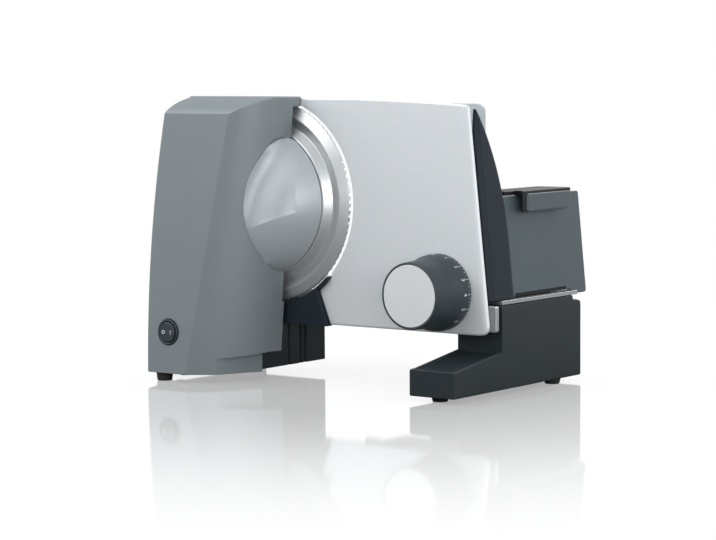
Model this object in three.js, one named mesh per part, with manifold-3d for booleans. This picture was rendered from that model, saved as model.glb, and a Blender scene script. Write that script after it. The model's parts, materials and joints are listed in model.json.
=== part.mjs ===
// A countertop food slicer: motor housing, round blade, stop plate, carriage and food holder.
// Millimetres, +Z up. Sizes are set from the blade: its axis is the line x = 0, z = 0 and its cutting
// edge lies in y = 0. +X points to the operator, +Y to the food side. The group then stands on z = 0.
import * as THREE from "three";
import { mergeVertices } from "three/addons/utils/BufferGeometryUtils.js";
import { ConvexGeometry } from "three/addons/geometries/ConvexGeometry.js";
import Module from "manifold-3d";

const wasm = await Module();
wasm.setup();

// Fits and sheet thicknesses
const gap = 0.3;
const runGap = 0.8;
const shellWall = 2.5;
const farCut = 20;
const far = 200;
const sides = 24;

// Heights
const axisHeight = 148.3;
const floorZ = -axisHeight;
const housingLift = 7;
const footLift = 4.5;
const housingBottom = floorZ + housingLift;
const footBottom = floorZ + footLift;

// Blade and its drive
const bladeRadius = 83.8;
const bladeTeeth = 88;
const toothDepth = 1.1;
const dishDepth = 8.6;
const bladeSheet = 1.4;
const bevelWidth = 8.8;
const ridgeRadius = bladeRadius - bevelWidth;
const ridgeDepth = 5.6;
const valleyRadius = ridgeRadius - 8;
const valleyDepth = 2.2;
const dishRadius = valleyRadius - 5.8;
const bladeBore = 9;
const hubRadius = 22;
const hubThick = 3;
const shaftRadius = 6;
const shaftEnd = -44;
const bladeScrewRadius = 15;
const bladeScrewHead = 3.5;
const wheelTeeth = 32;
const wheelModule = 1.25;
const wormPitchRadius = 7;
const wheelThick = 5;
const driveY = -30;
const toothSlack = 0.46;

// Motor
const motorRadius = 17;
const motorTop = -58.3;
const motorLength = 62;
const armatureLow = 14;
const armatureHigh = 8;
const rotorShaftRadius = 4;
const endCapThick = 6;

// Housing: facet corners and top
const roofWall = 2;
const frontBottom = -73;
const frontCreaseY = -58;
const frontCreaseZ = 73;
const facetFootX = -35;
const facetFootY = -72;
const facetHeadX = 3.4;
const facetHeadY = -57.4;
const facetEdgeX = 25.6;
const facetEdgeLean = 0.08;
const facetEdgeY = -8;
const facetBulge = 9;
const frontLeftFootX = -75;
const frontLeftHeadX = -66;
const frontLeftBow = 5.5;
const frontLeftShares = [0.2, 0.4, 0.6, 0.8];
const leftBackFootX = -104;
const leftBackHeadX = -100;
const topFrontY = -30;
const topLeftFrontX = -62;
const topLeftBackX = -88;
const housingBackY = 0.5;
const undercutLeftX = -17.3;
const undercutRightX = 40;
const undercutFrontY = -66;
const undercutLowZ = -129;
const undercutHighZ = -124;
const pocketDepth = dishDepth + 1.2;
const pocketRadius = bladeRadius + runGap;
const housingTop = pocketRadius + roofWall;

// Gear head cap
const capRadius = dishRadius - 0.6;
const capGap = 1;
const capApex = new THREE.Vector3(48.7, -26.4, -6.7);
const capShoulder = new THREE.Vector3(44.1, -18, 36.8);
const capMiddle = new THREE.Vector3(22, -16, 0);
const capRimStart = -1.25;
const capRimEnd = 1.1;
const capLeftX = 26;
const capLeftDepth = 6;
const capFacetLine = [[38, 0.5], [25, 0.39], [11, 0.35], [-5, 0.36], [-22, 0.44], [-37, 0.57], [-49, 0.72]];

// Base frame and bridge
const baseLeft = -96;
const baseRight = 4;
const baseFront = -18.6;
const baseBack = 66.7;
const baseDrop = 0.7;
const baseTop = -housingTop - baseDrop;
const legLift = 9;
const bladeDip = 10.3;
const bridgeTop = bladeDip - bladeRadius;
const bridgeSheet = 3.2;
const bridgeFront = 13.5;
const bridgeBack = 125;
const bridgeFlange = 4.5;
const bridgeFlangeWall = 3;

// Right foot
const footOuterX = 222;
const footWidth = 42;
const footInnerX = footOuterX - footWidth;
const toeFront = -55;
const toeHeight = 19.2;
const heelFront = 12;
const toeRise = 11.1;
const footNotchY = 117;
const footNotchDrop = 4;
const footBack = 129;
const footCoverThick = 2.5;

// Stop plate and knob
const plateFront = 1;
const plateThick = 3;
const plateTravel = 24;
const plateTopDrop = 1.4;
const plateTop = housingTop - plateTopDrop;
const plateTopFall = 5;
const bracketTop = bridgeTop - bridgeSheet - gap;
const guideRodDrop = 11;
const guideRodZ = bracketTop - guideRodDrop;
const plateSkirt = 12.6;
const plateBottom = guideRodZ - plateSkirt;
const plateEndInset = 5;
const plateEndLean = 17.4;
const plateEndBottomX = footOuterX - plateEndInset;
const plateEndTopX = plateEndBottomX - plateEndLean;
const plateArcX = -2.7;
const plateArcZ = -1.6;
const plateArcGap = 4.7;
const plateArcRadius = bladeRadius + plateArcGap;
const plateToeTurn = 0.933;
const plateToeLean = 11;
const plateToeTopX = plateArcX + plateArcRadius * Math.cos(plateToeTurn);
const plateToeTopZ = plateArcZ - plateArcRadius * Math.sin(plateToeTurn);
const plateToeX = plateToeTopX + plateToeLean;
const plateLeftX = facetEdgeX + facetEdgeLean * housingTop + 1;
const plateCorner = 6;
const plateTopLine = [[47.6, 0.4], [87.6, 0.12], [127.6, 0]];
const knobInset = 10.2;
const knobX = footInnerX - knobInset;
const knobLift = 32.6;
const knobZ = plateBottom + knobLift;
const knobBaseRadius = 30.8;
const knobFrontRadius = 26.5;
const knobLength = 41.5;
const knobWall = 2.6;
const knobSkirt = 7;
const knobWaist = 13;
const knobDrumRadius = 16;
const knobSweep = 337.5;
const studRadius = 5;
const followerRadius = 2.5;
const followerOffset = 19.5;
const followerPin = 2;
const grooveDepth = 3;
const discThick = 1.6;
const bracketThick = 4.7;
const bracketReach = 85;
const bracketLeft = footInnerX - bracketReach;
const bracketRight = footOuterX - 0.5;
const guideRodRadius = 4;
const guideRodReaches = [76, 30];
const guideRodXs = guideRodReaches.map((reach) => footInnerX - reach);
const guideRodEnd = 106;
const rodTieInset = 8;
const bushWall = 2;
const guideBlockFront = 20;
const guideBlockBack = 62;
const guideBlockLeft = guideRodXs[0] - 12;
const guideBlockRight = footInnerX - 2;
const guideBlockBottom = guideRodZ - guideRodDrop;

// Carriage and food holder
const carriageWallInset = 15.5;
const carriageWallX = footOuterX - carriageWallInset;
const carriageWidth = 111.5;
const carriageLeft = carriageWallX - carriageWidth;
const carriageFront = 8;
const carriageFloorBack = 120;
const carriageLift = 2;
const carriageFloorZ = bridgeTop + carriageLift;
const carriageFloorThick = 4.5;
const carriageWallLean = 0.0985;
const carriageWallThick = 4;
const carriageWallTop = 7;
const carriageWallBack = 150;
const carriageHookDrop = 4;
const glideWidth = 6;
const glideYs = [24, 108];
const glideNames = ["front", "rear"];
const guardFront = 5.2;
const guardThick = 2.5;
const guardTop = 77;
const guardWidth = 33.6;
const guardStraightTop = -39;
const guardTipShare = 0.04;
const guardCurve = 2.3;
const holderLipFront = 54.4;
const holderBack = 126;
const holderLipBottom = -6;
const holderSheet = 3.6;
const holderLipReach = 4.6;
const holderLipThick = 2.4;
const holderArmFront = 40;
const pusherSetback = 24;
const pusherWidth = 69.7;
const pusherRight = carriageWallX - pusherSetback;
const pusherLeft = pusherRight - pusherWidth;
const pusherY = 45.4;
const pusherThick = 3.5;
const pusherTop = 80.5;
const pusherCorner = 7;
const combHalfHeight = 34;
const combThick = 2;
const spikeXs = [-20, 0, 20];
const spikeZs = [-24, 0, 24];
const spikeRadius = 2;
const spikeLength = 8;

// Blade cover plate on the food side
const coverRight = 12;
const coverCorner = 12;

// Cord gland
const glandX = -70;
const glandZ = -120;
const glandBore = 3;
const glandRadius = 8;
const glandLength = 7;

// Switch
const switchX = -53.8;
const switchZ = -107;
const switchRadius = 9.3;
const bezelWall = 1.6;

// Solids: a geometry becomes a closed solid for a join or a cut, and comes back as a geometry
function solidOf(geometry) {
  const bare = geometry.clone();
  bare.deleteAttribute("normal");
  bare.deleteAttribute("uv");
  const merged = mergeVertices(bare, 1e-3);
  const triVerts = new Uint32Array(merged.index.array);
  const vertProperties = merged.attributes.position.array;
  return new wasm.Manifold(new wasm.Mesh({ numProp: 3, vertProperties, triVerts }));
}

function geometryOf(solid) {
  const mesh = solid.getMesh();
  const geometry = new THREE.BufferGeometry();
  geometry.setAttribute("position", new THREE.BufferAttribute(new Float32Array(mesh.vertProperties), 3));
  geometry.setIndex(new THREE.BufferAttribute(new Uint32Array(mesh.triVerts), 1));
  return geometry;
}

function join(...pieces) {
  return geometryOf(pieces.map(solidOf).reduce((whole, piece) => whole.add(piece)));
}

function cut(piece, ...tools) {
  return geometryOf(tools.map(solidOf).reduce((whole, tool) => whole.subtract(tool), solidOf(piece)));
}

function common(piece, tool) {
  return geometryOf(solidOf(piece).intersect(solidOf(tool)));
}

// Shapes
function box(x0, x1, y0, y1, z0, z1) {
  return new THREE.BoxGeometry(x1 - x0, y1 - y0, z1 - z0)
    .translate((x0 + x1) / 2, (y0 + y1) / 2, (z0 + z1) / 2);
}

function shapeOf(points) {
  return new THREE.Shape(points.map(([u, v]) => new THREE.Vector2(u, v)));
}

function prismZ(points, z0, z1) {
  return new THREE.ExtrudeGeometry(shapeOf(points), { depth: z1 - z0, bevelEnabled: false }).translate(0, 0, z0);
}

// An outline in x and z, carried along y
function prismY(points, y0, y1) {
  return new THREE.ExtrudeGeometry(shapeOf(points), { depth: y1 - y0, bevelEnabled: false })
    .rotateX(Math.PI / 2)
    .translate(0, y1, 0);
}

// An outline in y and z, carried along x
function prismX(points, x0, x1) {
  return new THREE.ExtrudeGeometry(shapeOf(points), { depth: x1 - x0, bevelEnabled: false })
    .rotateY(Math.PI / 2)
    .rotateX(Math.PI / 2)
    .translate(x0, 0, 0);
}

function rodY(radius, y0, y1, x, z, count = sides) {
  return new THREE.CylinderGeometry(radius, radius, y1 - y0, count).translate(x, (y0 + y1) / 2, z);
}

function rodZ(radius, z0, z1, x, y, count = sides) {
  return new THREE.CylinderGeometry(radius, radius, z1 - z0, count)
    .rotateX(Math.PI / 2)
    .translate(x, y, (z0 + z1) / 2);
}

// A closed outline of radius and y, turned about the y axis
function turned(profile, count = sides) {
  const closed = [...profile, profile[0]].map(([r, y]) => new THREE.Vector2(r, y));
  const geometry = new THREE.LatheGeometry(closed, count);
  return solidOf(geometry).volume() > 0 ? geometry : new THREE.LatheGeometry(closed.reverse(), count);
}

function hull(points) {
  return new ConvexGeometry(points.map((p) => (p.isVector3 ? p : new THREE.Vector3(...p))));
}

// A ridge wound on the y axis: half widths at its root and tip, lead per turn, from angle a0 to a1
function helixRidge(rootRadius, tipRadius, rootHalf, tipHalf, lead, startY, a0, a1, stepsPerTurn) {
  const steps = Math.ceil((Math.abs(a1 - a0) / (2 * Math.PI)) * stepsPerTurn);
  const corners = [
    [rootRadius, -rootHalf],
    [rootRadius, rootHalf],
    [tipRadius, tipHalf],
    [tipRadius, -tipHalf],
  ];
  const positions = [];
  const index = [];
  for (let i = 0; i <= steps; i++) {
    const turn = ((a1 - a0) * i) / steps;
    const angle = a0 + turn;
    const y = startY + (lead * Math.abs(turn)) / (2 * Math.PI);
    for (const [radius, side] of corners) {
      positions.push(radius * Math.cos(angle), y + side, radius * Math.sin(angle));
    }
  }
  for (let i = 0; i < steps; i++) {
    for (let c = 0; c < 4; c++) {
      const here = 4 * i + c;
      const next = 4 * i + ((c + 1) % 4);
      index.push(here, next, next + 4, here, next + 4, here + 4);
    }
  }
  const last = 4 * steps;
  index.push(0, 2, 1, 0, 3, 2, last, last + 1, last + 2, last, last + 2, last + 3);
  const geometry = new THREE.BufferGeometry();
  geometry.setAttribute("position", new THREE.Float32BufferAttribute(positions, 3));
  geometry.setIndex(index);
  if (solidOf(geometry).volume() > 0) return geometry;
  const back = [];
  for (let i = 0; i < index.length; i += 3) back.push(index[i], index[i + 2], index[i + 1]);
  geometry.setIndex(back);
  return geometry;
}

// Finishes
const finish = (color, roughness, metalness) => new THREE.MeshStandardMaterial({ color, roughness, metalness });
const silverPlastic = finish("#868e95", 0.42, 0.35);
const capSilver = finish("#a9b0b4", 0.35, 0.5);
const darkPlastic = finish("#2b3236", 0.55, 0);
const greyPlastic = finish("#565f64", 0.5, 0);
const blackPlastic = finish("#17191b", 0.5, 0);
const aluminium = finish("#c9cdd0", 0.35, 1);
const polishedSteel = finish("#d6d9db", 0.15, 1);
const steel = finish("#9aa0a4", 0.35, 1);
const rubber = finish("#141516", 0.9, 0);
const brass = finish("#b8913f", 0.35, 1);
const whitePlastic = finish("#e2e0d8", 0.5, 0);
const lightGreyPlastic = finish("#a4abae", 0.45, 0);

const slicer = new THREE.Group();

function add(name, geometry, material) {
  const mesh = new THREE.Mesh(geometry, material);
  mesh.name = name;
  slicer.add(mesh);
  return mesh;
}

// Housing: the second facet runs from its leaning front line to an edge beside the blade
function facetPoint(z, s, inset = 0) {
  const t = (z - housingBottom) / (frontCreaseZ - housingBottom);
  const x0 = facetFootX + t * (facetHeadX - facetFootX);
  const y0 = facetFootY + t * (facetHeadY - facetFootY);
  const x1 = facetEdgeX + facetEdgeLean * z;
  const dx = x1 - x0;
  const dy = facetEdgeY - y0;
  const push = (facetBulge * 4 * s * (1 - s) - inset) / Math.hypot(dx, dy);
  return new THREE.Vector3(x0 + s * dx + push * dy, y0 + s * dy - push * dx, z);
}

const facetShares = [0, 0.17, 0.34, 0.5, 0.67, 0.84, 1];

// The left side runs straight from the front facet to the back, so its x at a given y is a share of it
function leftX(frontX, frontY, backX, y) {
  return frontX + ((backX - frontX) * (y - frontY)) / (housingBackY - frontY);
}

// The front left corner's line bows out between its foot and the crease
function frontLeftPoint(share) {
  const foot = new THREE.Vector3(frontLeftFootX, frontBottom, housingBottom);
  const head = new THREE.Vector3(frontLeftHeadX, frontCreaseY, frontCreaseZ);
  const point = foot.lerp(head, share);
  point.x -= frontLeftBow * 4 * share * (1 - share);
  return point;
}

// Corners of the housing's body, drawn in by inset and cut off at backY; its room is open below
function housingPoints(inset, backY) {
  const top = housingTop - inset;
  const low = inset > 0 ? housingBottom - farCut : housingBottom;
  const points = [];
  for (const z of [housingBottom, frontCreaseZ, housingTop]) {
    const level = z === housingBottom ? low : Math.min(z, top);
    for (const s of facetShares) {
      const p = facetPoint(z, s, inset);
      if (p.y > backY || (z === housingTop && p.y < topFrontY)) continue;
      points.push([p.x, p.y, level]);
    }
    const back = facetShares.map((s) => facetPoint(z, s, inset)).filter((p) => p.y <= backY).pop();
    points.push([back.x, backY, level]);
  }
  points.push([frontLeftFootX + inset, frontBottom + inset, low]);
  for (const share of frontLeftShares) {
    const p = frontLeftPoint(share);
    points.push([p.x + inset, p.y + inset, p.z]);
  }
  points.push([frontLeftHeadX + inset, frontCreaseY + inset, frontCreaseZ - inset / 2]);
  points.push([facetHeadX - inset, facetHeadY + inset, frontCreaseZ - inset / 2]);
  points.push([leftX(frontLeftFootX, frontBottom, leftBackFootX, backY) + inset, backY, low]);
  points.push([leftX(frontLeftHeadX, frontCreaseY, leftBackHeadX, backY) + inset, backY, frontCreaseZ - inset]);
  points.push([topLeftFrontX + inset, topFrontY, top]);
  points.push([leftX(topLeftFrontX, topFrontY, topLeftBackX, backY) + inset, backY, top]);
  return points;
}

const housingOuter = hull(housingPoints(0, housingBackY));
const underBlade = -pocketRadius - roofWall;

// The housing is cut away below, in a slanting face that runs back to the base frame's front corner
function undercut(wall) {
  const low = undercutLowZ + wall;
  const high = undercutHighZ + wall;
  const plan = [
    [undercutLeftX - wall, undercutFrontY, low],
    [undercutRightX, undercutFrontY, high],
    [undercutRightX, baseFront - gap, high],
    [baseRight + gap - wall, baseFront - gap, high],
  ];
  return hull([...plan, ...plan.map(([x, y]) => [x, y, floorZ])]);
}

const switchSeatY = frontBottom + ((switchZ - housingBottom) / (frontCreaseZ - housingBottom)) *
  (frontCreaseY - frontBottom);

function motorHousing() {
  const mainRoom = cut(hull(housingPoints(shellWall, -pocketDepth - shellWall)), undercut(shellWall));
  const rimRoom = cut(
    hull(housingPoints(shellWall, housingBackY - shellWall)),
    rodY(pocketRadius + shellWall, -farCut * 5, farCut, 0, 0, 48),
    box(0, far, -far, far, -far, far),
    undercut(shellWall),
  );
  return cut(
    housingOuter,
    mainRoom,
    rimRoom,
    rodY(pocketRadius, -pocketDepth, farCut, 0, 0, 64),
    rodY(hubRadius + runGap + 1, -farCut, 0, 0, 0),
    box(-far, baseRight + gap, baseFront - gap, farCut, -far, underBlade),
    box(baseRight, far, facetEdgeY + gap, farCut, -far, -capRadius),
    undercut(0),
    box(baseRight, far, baseFront - gap - 0.1, facetEdgeY + 2 * gap, -far, undercutHighZ),
    rodY(switchRadius + bezelWall + gap, -far, frontCreaseY + shellWall, switchX, switchZ),
    hull(capPoints(1 + capGap / capRadius)),
  );
}

// The cap over the gear head: a round rim beside the blade, three planes that meet in one point,
// and a left side that runs into the second facet
function capPoints(scale) {
  const points = [];
  const rimSteps = 22;
  const rimY = -pocketDepth - gap;
  for (let i = 0; i <= rimSteps; i++) {
    const angle = capRimStart + ((capRimEnd - capRimStart) * i) / rimSteps;
    points.push([capRadius * Math.cos(angle), rimY, capRadius * Math.sin(angle)]);
  }
  points.push(capApex, capShoulder);
  for (const [z, s] of capFacetLine) {
    const p = facetPoint(z, s);
    points.push([p.x, p.y, z], [p.x - capLeftDepth, rimY, z]);
  }
  return points.map((p) => {
    const point = p.isVector3 ? p.clone() : new THREE.Vector3(...p);
    return point.sub(capMiddle).multiplyScalar(scale).add(capMiddle);
  });
}

function gearHeadCap() {
  const inner = capPoints(1 - shellWall / capMiddle.distanceTo(capApex));
  const backs = inner.filter((p) => p.y > -pocketDepth - shellWall).map((p) => new THREE.Vector3(p.x, 0, p.z));
  const lefts = inner.filter((p) => p.x < capLeftX).map((p) => new THREE.Vector3(p.x - 2 * farCut, p.y, p.z));
  return cut(hull(capPoints(1)), hull([...inner, ...backs, ...lefts]));
}

// Blade and drive
function blade() {
  const edge = bladeRadius;
  const disc = turned(
    [
      [bladeBore, -dishDepth],
      [dishRadius, -dishDepth],
      [valleyRadius, -valleyDepth],
      [ridgeRadius, -ridgeDepth],
      [edge, -0.5],
      [edge, 0],
      [valleyRadius - 1, -0.6],
      [dishRadius - 1, -dishDepth + bladeSheet],
      [bladeBore, -dishDepth + bladeSheet],
    ],
    bladeTeeth,
  );
  const wave = [];
  for (let i = 0; i < 2 * bladeTeeth; i++) {
    const angle = (Math.PI * (i + 0.5)) / bladeTeeth;
    const radius = i % 2 ? edge : edge - toothDepth;
    wave.push([radius * Math.cos(angle), radius * Math.sin(angle)]);
  }
  return common(disc, prismY(wave, -dishDepth - 1, 1));
}

const hubBack = -dishDepth - gap;

function bladeHub() {
  return turned([
    [shaftRadius + gap, hubBack - hubThick],
    [hubRadius, hubBack - hubThick],
    [hubRadius, hubBack],
    [bladeBore - gap, hubBack],
    [bladeBore - gap, -dishDepth + bladeSheet],
    [shaftRadius + gap, -dishDepth + bladeSheet],
  ]);
}

const shaftTop = -dishDepth + bladeSheet;

function bladeScrew() {
  const seat = shaftTop + gap;
  const head = rodY(bladeScrewRadius, seat, seat + bladeScrewHead, 0, 0);
  const slot = box(-bladeScrewRadius * 0.7, bladeScrewRadius * 0.7, seat + 1.6, seat + farCut, -1.5, 1.5);
  return cut(head, slot);
}

const wheelPitchRadius = (wheelTeeth * wheelModule) / 2;
const axisGap = wheelPitchRadius + wormPitchRadius;
const wormX = -axisGap;
const toothPitch = Math.PI * wheelModule;
const toothHalf = toothPitch / 4 - toothSlack / 2;
const flankRise = 0.4 * wheelModule;

function wormWheel() {
  const outline = [];
  const root = wheelPitchRadius - 1.28 * wheelModule;
  const tip = wheelPitchRadius + wheelModule;
  for (let i = 0; i < wheelTeeth; i++) {
    const middle = (2 * Math.PI * i) / wheelTeeth + Math.PI;
    const wide = (toothHalf + flankRise) / root;
    const narrow = (toothHalf - flankRise) / tip;
    for (const [radius, turn] of [[root, -wide], [tip, -narrow], [tip, narrow], [root, wide]]) {
      outline.push([radius * Math.cos(middle + turn), radius * Math.sin(middle + turn)]);
    }
  }
  const lead = Math.atan(toothPitch / (2 * Math.PI * wormPitchRadius));
  const wheel = prismY(outline, driveY - wheelThick / 2, driveY + wheelThick / 2);
  const place = wheel.attributes.position;
  for (let i = 0; i < place.count; i++) {
    const shift = ((place.getY(i) - driveY) * Math.tan(lead)) / wheelPitchRadius;
    const x = place.getX(i);
    const z = place.getZ(i);
    place.setX(i, x * Math.cos(shift) - z * Math.sin(shift));
    place.setZ(i, x * Math.sin(shift) + z * Math.cos(shift));
  }
  return cut(wheel, rodY(shaftRadius + gap, -farCut * 5, farCut, 0, 0));
}

const wormHalfLength = 14;

function wormRotor() {
  const root = wormPitchRadius - 1.28 * wheelModule;
  const tip = wormPitchRadius + wheelModule;
  const turns = (2 * wormHalfLength) / toothPitch;
  const ridge = helixRidge(
    root - 0.4,
    tip,
    toothHalf + flankRise,
    toothHalf - flankRise,
    toothPitch,
    -wormHalfLength,
    0,
    2 * Math.PI * turns,
    14,
  );
  // The thread starts so that a gap, not a ridge, faces the wheel's first tooth
  const phase = (Math.PI * 2 * (wormHalfLength + toothPitch / 2)) / toothPitch;
  const thread = ridge.rotateX(Math.PI / 2).rotateZ(phase).translate(wormX, driveY, 0);
  const core = rodZ(root, -wormHalfLength - 2, wormHalfLength + 2, wormX, driveY);
  const shaft = rodZ(rotorShaftRadius, motorTop - motorLength - 3, frameTop - 0.5, wormX, driveY);
  const armatureFoot = motorTop - motorLength + armatureLow;
  const armature = rodZ(motorRadius - 5, armatureFoot, motorTop - armatureHigh, wormX, driveY);
  return join(core, thread, shaft, armature);
}

// Gear frame: an open box that carries the blade shaft and the motor
const frameWall = 3.4;
const frameBack = -pocketDepth - shellWall - gap;
const frameFront = driveY - wormPitchRadius - wheelModule - runGap - frameWall;
const frameReach = 19;
const frameLeft = wormX - frameReach;
const frameTop = 30;
const frameBottom = motorTop + gap;

function gearFrame() {
  const outer = box(frameLeft, 0, frameFront, frameBack, frameBottom, frameTop);
  const room = box(
    frameLeft + frameWall,
    farCut,
    frameFront + frameWall,
    frameBack - frameWall,
    frameBottom + frameWall,
    frameTop - frameWall,
  );
  const nose = rodY(bushRadius + 3, frameBack - frameWall, frameBack, 0, 0);
  return cut(
    join(cut(outer, room), nose),
    rodY(bushRadius + gap, driveY, 0, 0, 0),
    rodY(shaftRadius + gap, frameFront - 1, driveY, 0, 0),
    rodZ(wormPitchRadius + 3, frameBottom - 1, frameBottom + frameWall + 1, wormX, driveY),
    rodZ(rotorShaftRadius + gap, frameTop - frameWall - 1, frameTop + 1, wormX, driveY),
  );
}

const bushRadius = 10;

function shaftBush() {
  return turned([
    [shaftRadius + gap, frameBack - frameWall - 2],
    [bushRadius, frameBack - frameWall - 2],
    [bushRadius, frameBack - gap],
    [shaftRadius + gap, frameBack - gap],
  ]);
}

function motorCan() {
  const bottom = motorTop - motorLength;
  const can = rodZ(motorRadius, bottom, motorTop, wormX, driveY, 32);
  const room = rodZ(motorRadius - 2, bottom - 1, motorTop - 3, wormX, driveY, 32);
  return cut(can, room, rodZ(rotorShaftRadius + runGap, bottom, motorTop + 1, wormX, driveY));
}

function motorEndCap() {
  const top = motorTop - motorLength - gap;
  const cap = rodZ(motorRadius, top - endCapThick, top, wormX, driveY, 32);
  return cut(cap, rodZ(rotorShaftRadius + gap, top - endCapThick + 2, top + 1, wormX, driveY));
}

function coolingFan() {
  const top = motorTop - motorLength + 10;
  const hub = rodZ(rotorShaftRadius + 3, top - 6, top, wormX, driveY);
  const blades = [0, 1, 2, 3, 4, 5].map((i) =>
    box(2, motorRadius - 4, -0.8, 0.8, top - 6, top).rotateZ((i * Math.PI) / 3).translate(wormX, driveY, 0),
  );
  return cut(join(hub, ...blades), rodZ(rotorShaftRadius + gap, top - 9, top + 1, wormX, driveY));
}

// Base frame: leg, deck under the bridge and the guard beside the blade
const legBottom = floorZ + legLift;
const deckTop = bridgeTop - bridgeSheet - gap;
const guardPlateGap = 0.8;

function baseFrame() {
  const block = box(baseLeft, baseRight, baseFront, baseBack, legBottom, baseTop - gap);
  const deck = box(baseLeft, baseRight, bridgeFront, baseBack, legBottom, deckTop);
  const room = box(
    baseLeft + shellWall,
    baseRight - shellWall,
    baseFront + shellWall,
    baseBack - shellWall,
    legBottom - 1,
    baseTop - gap - shellWall,
  );
  const deckRoom = box(
    baseLeft + shellWall,
    baseRight - shellWall,
    bridgeFront + shellWall,
    baseBack - shellWall,
    legBottom - 1,
    deckTop - shellWall,
  );
  const guard = prismY(
    [
      [baseRight - 2, plateBottom - 1],
      [plateToeX - guardPlateGap, plateBottom - 1],
      [plateToeTopX - guardPlateGap, plateToeTopZ - gap],
      [baseRight + 2 * gap, plateToeTopZ - gap],
      [baseRight + 2 * gap, baseTop - gap],
      [baseRight - 2, baseTop - gap],
    ],
    facetEdgeY + 4,
    plateFront + plateThick,
  );
  return cut(
    join(cut(join(block, deck), room, deckRoom), guard),
    rodY(pocketRadius + 1, -farCut, farCut, 0, 0, 64),
    rodZ(motorRadius + 1, -farCut * 10, 0, wormX, driveY),
  );
}

const coverThick = 2.5;

function frameCover() {
  const inset = shellWall + gap;
  return box(
    baseLeft + inset,
    baseRight - inset,
    baseFront + inset,
    baseBack - inset,
    legBottom,
    legBottom + coverThick,
  );
}

function baseCover() {
  const plan = [
    [frontLeftFootX + 6, frontBottom + 6],
    [facetFootX - 4, facetFootY + 6],
    [-22, -50],
    [-12, baseFront - 3],
    [baseLeft + 6, baseFront - 3],
  ];
  const lid = prismZ(plan, housingBottom, housingBottom + coverThick);
  return cut(lid, ...screwSpots.map(([x, y]) => rodZ(screwRadius + gap, -far, 0, x, y, 12)));
}

const screwRadius = 2;
const screwHeadRadius = 4;
const screwHeadThick = 2;
const screwLength = 12;
const screwSpots = [[-76, -30], [-48, -56]];

function coverScrew(x, y) {
  const seat = housingBottom - gap;
  const shank = rodZ(screwRadius, seat - 0.1, seat + screwLength, x, y, 12);
  return join(rodZ(screwHeadRadius, seat - screwHeadThick, seat, x, y, 16), shank);
}

const rubberRadius = 7;
const rubberSides = 20;
const frontPadInset = 11.3;
const rearPadInset = 12;
const toePadInset = 19;
const heelPadInset = 8;
const footSpots = [
  ["front_left", frontLeftFootX + frontPadInset, -64, housingBottom],
  ["rear_left", -60, baseBack - rearPadInset, legBottom],
  ["toe", footInnerX + toePadInset, -40, footBottom],
  ["rear_right", footOuterX - heelPadInset, 98, footBottom],
];

function rubberFoot(x, y, top) {
  return new THREE.CylinderGeometry(rubberRadius, rubberRadius * 0.86, top - gap - floorZ, rubberSides)
    .rotateX(Math.PI / 2)
    .translate(x, y, (top - gap + floorZ) / 2);
}

function bridgeRail() {
  const web = box(baseLeft, footOuterX - 0.5, bridgeFront, bridgeBack, bridgeTop - bridgeSheet, bridgeTop);
  const flangeBottom = bridgeTop - bridgeSheet - bridgeFlange;
  const x0 = baseRight + 1;
  const x1 = footOuterX - footWidth - 1;
  const front = box(x0, x1, bridgeFront, bridgeFront + bridgeFlangeWall, flangeBottom, bridgeTop);
  const back = box(x0, x1, bridgeBack - bridgeFlangeWall, bridgeBack, flangeBottom, bridgeTop);
  return join(web, front, back);
}

// Right foot: a toe under the plate and a tall shell that holds the bridge
const heelTop = bridgeTop - bridgeSheet - gap;

function footOutline(inset) {
  const low = inset > 0 ? footBottom - 1 : footBottom;
  const toeTop = footBottom + toeHeight;
  return [
    [toeFront + inset, low],
    [toeFront + inset, toeTop - inset],
    [heelFront + inset, toeTop + toeRise - inset],
    [heelFront + inset, heelTop - inset],
    [footNotchY - inset, heelTop - inset],
    [footNotchY - inset, heelTop - footNotchDrop - inset],
    [footBack - 4 - inset, heelTop - footNotchDrop - inset],
    [footBack - inset, low],
  ];
}

function rightFoot() {
  const body = prismX(footOutline(0), footInnerX, footOuterX);
  const room = prismX(footOutline(shellWall), footInnerX + shellWall, footOuterX - shellWall);
  return cut(body, room);
}

function footCover() {
  const inset = shellWall + gap;
  return box(
    footInnerX + inset,
    footOuterX - inset,
    toeFront + inset,
    footBack - inset - 1,
    footBottom,
    footBottom + footCoverThick,
  );
}

// Stop plate
function plateOutline() {
  const points = [[plateEndBottomX - plateCorner, plateBottom]];
  points.push([plateEndX(plateBottom + plateCorner), plateBottom + plateCorner]);
  points.push([plateEndTopX, plateTop - plateTopFall - plateCorner / 4]);
  points.push([plateEndTopX - plateCorner / 2, plateTop - plateTopFall]);
  for (const [back, share] of plateTopLine) {
    points.push([plateEndTopX - back, plateTop - share * plateTopFall]);
  }
  // The arc starts on the plate's left side or, where it is wide enough to reach past that, on its top
  const atSide = Math.acos((plateLeftX - plateArcX) / plateArcRadius);
  const atTop = Math.asin(Math.min((plateTop - plateArcZ) / plateArcRadius, 1));
  if (atSide < atTop) points.push([plateLeftX, plateTop]);
  const start = Math.min(atSide, atTop);
  const end = -plateToeTurn;
  const count = 20;
  for (let i = 0; i <= count; i++) {
    const angle = start + ((end - start) * i) / count;
    points.push([plateArcX + plateArcRadius * Math.cos(angle), plateArcZ + plateArcRadius * Math.sin(angle)]);
  }
  points.push([plateToeX, plateBottom]);
  return points;
}

const followerZ = knobZ - followerOffset;
const plateBack = plateFront + plateThick;

function stopPlate() {
  const sheet = prismY(plateOutline(), plateFront, plateBack);
  return cut(sheet, rodY(followerRadius + gap * 2, -farCut, farCut, knobX, followerZ));
}

function plateEndX(z) {
  const share = (z - plateBottom) / (plateTop - plateTopFall - plateBottom);
  return plateEndBottomX + share * (plateEndTopX - plateEndBottomX);
}

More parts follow.
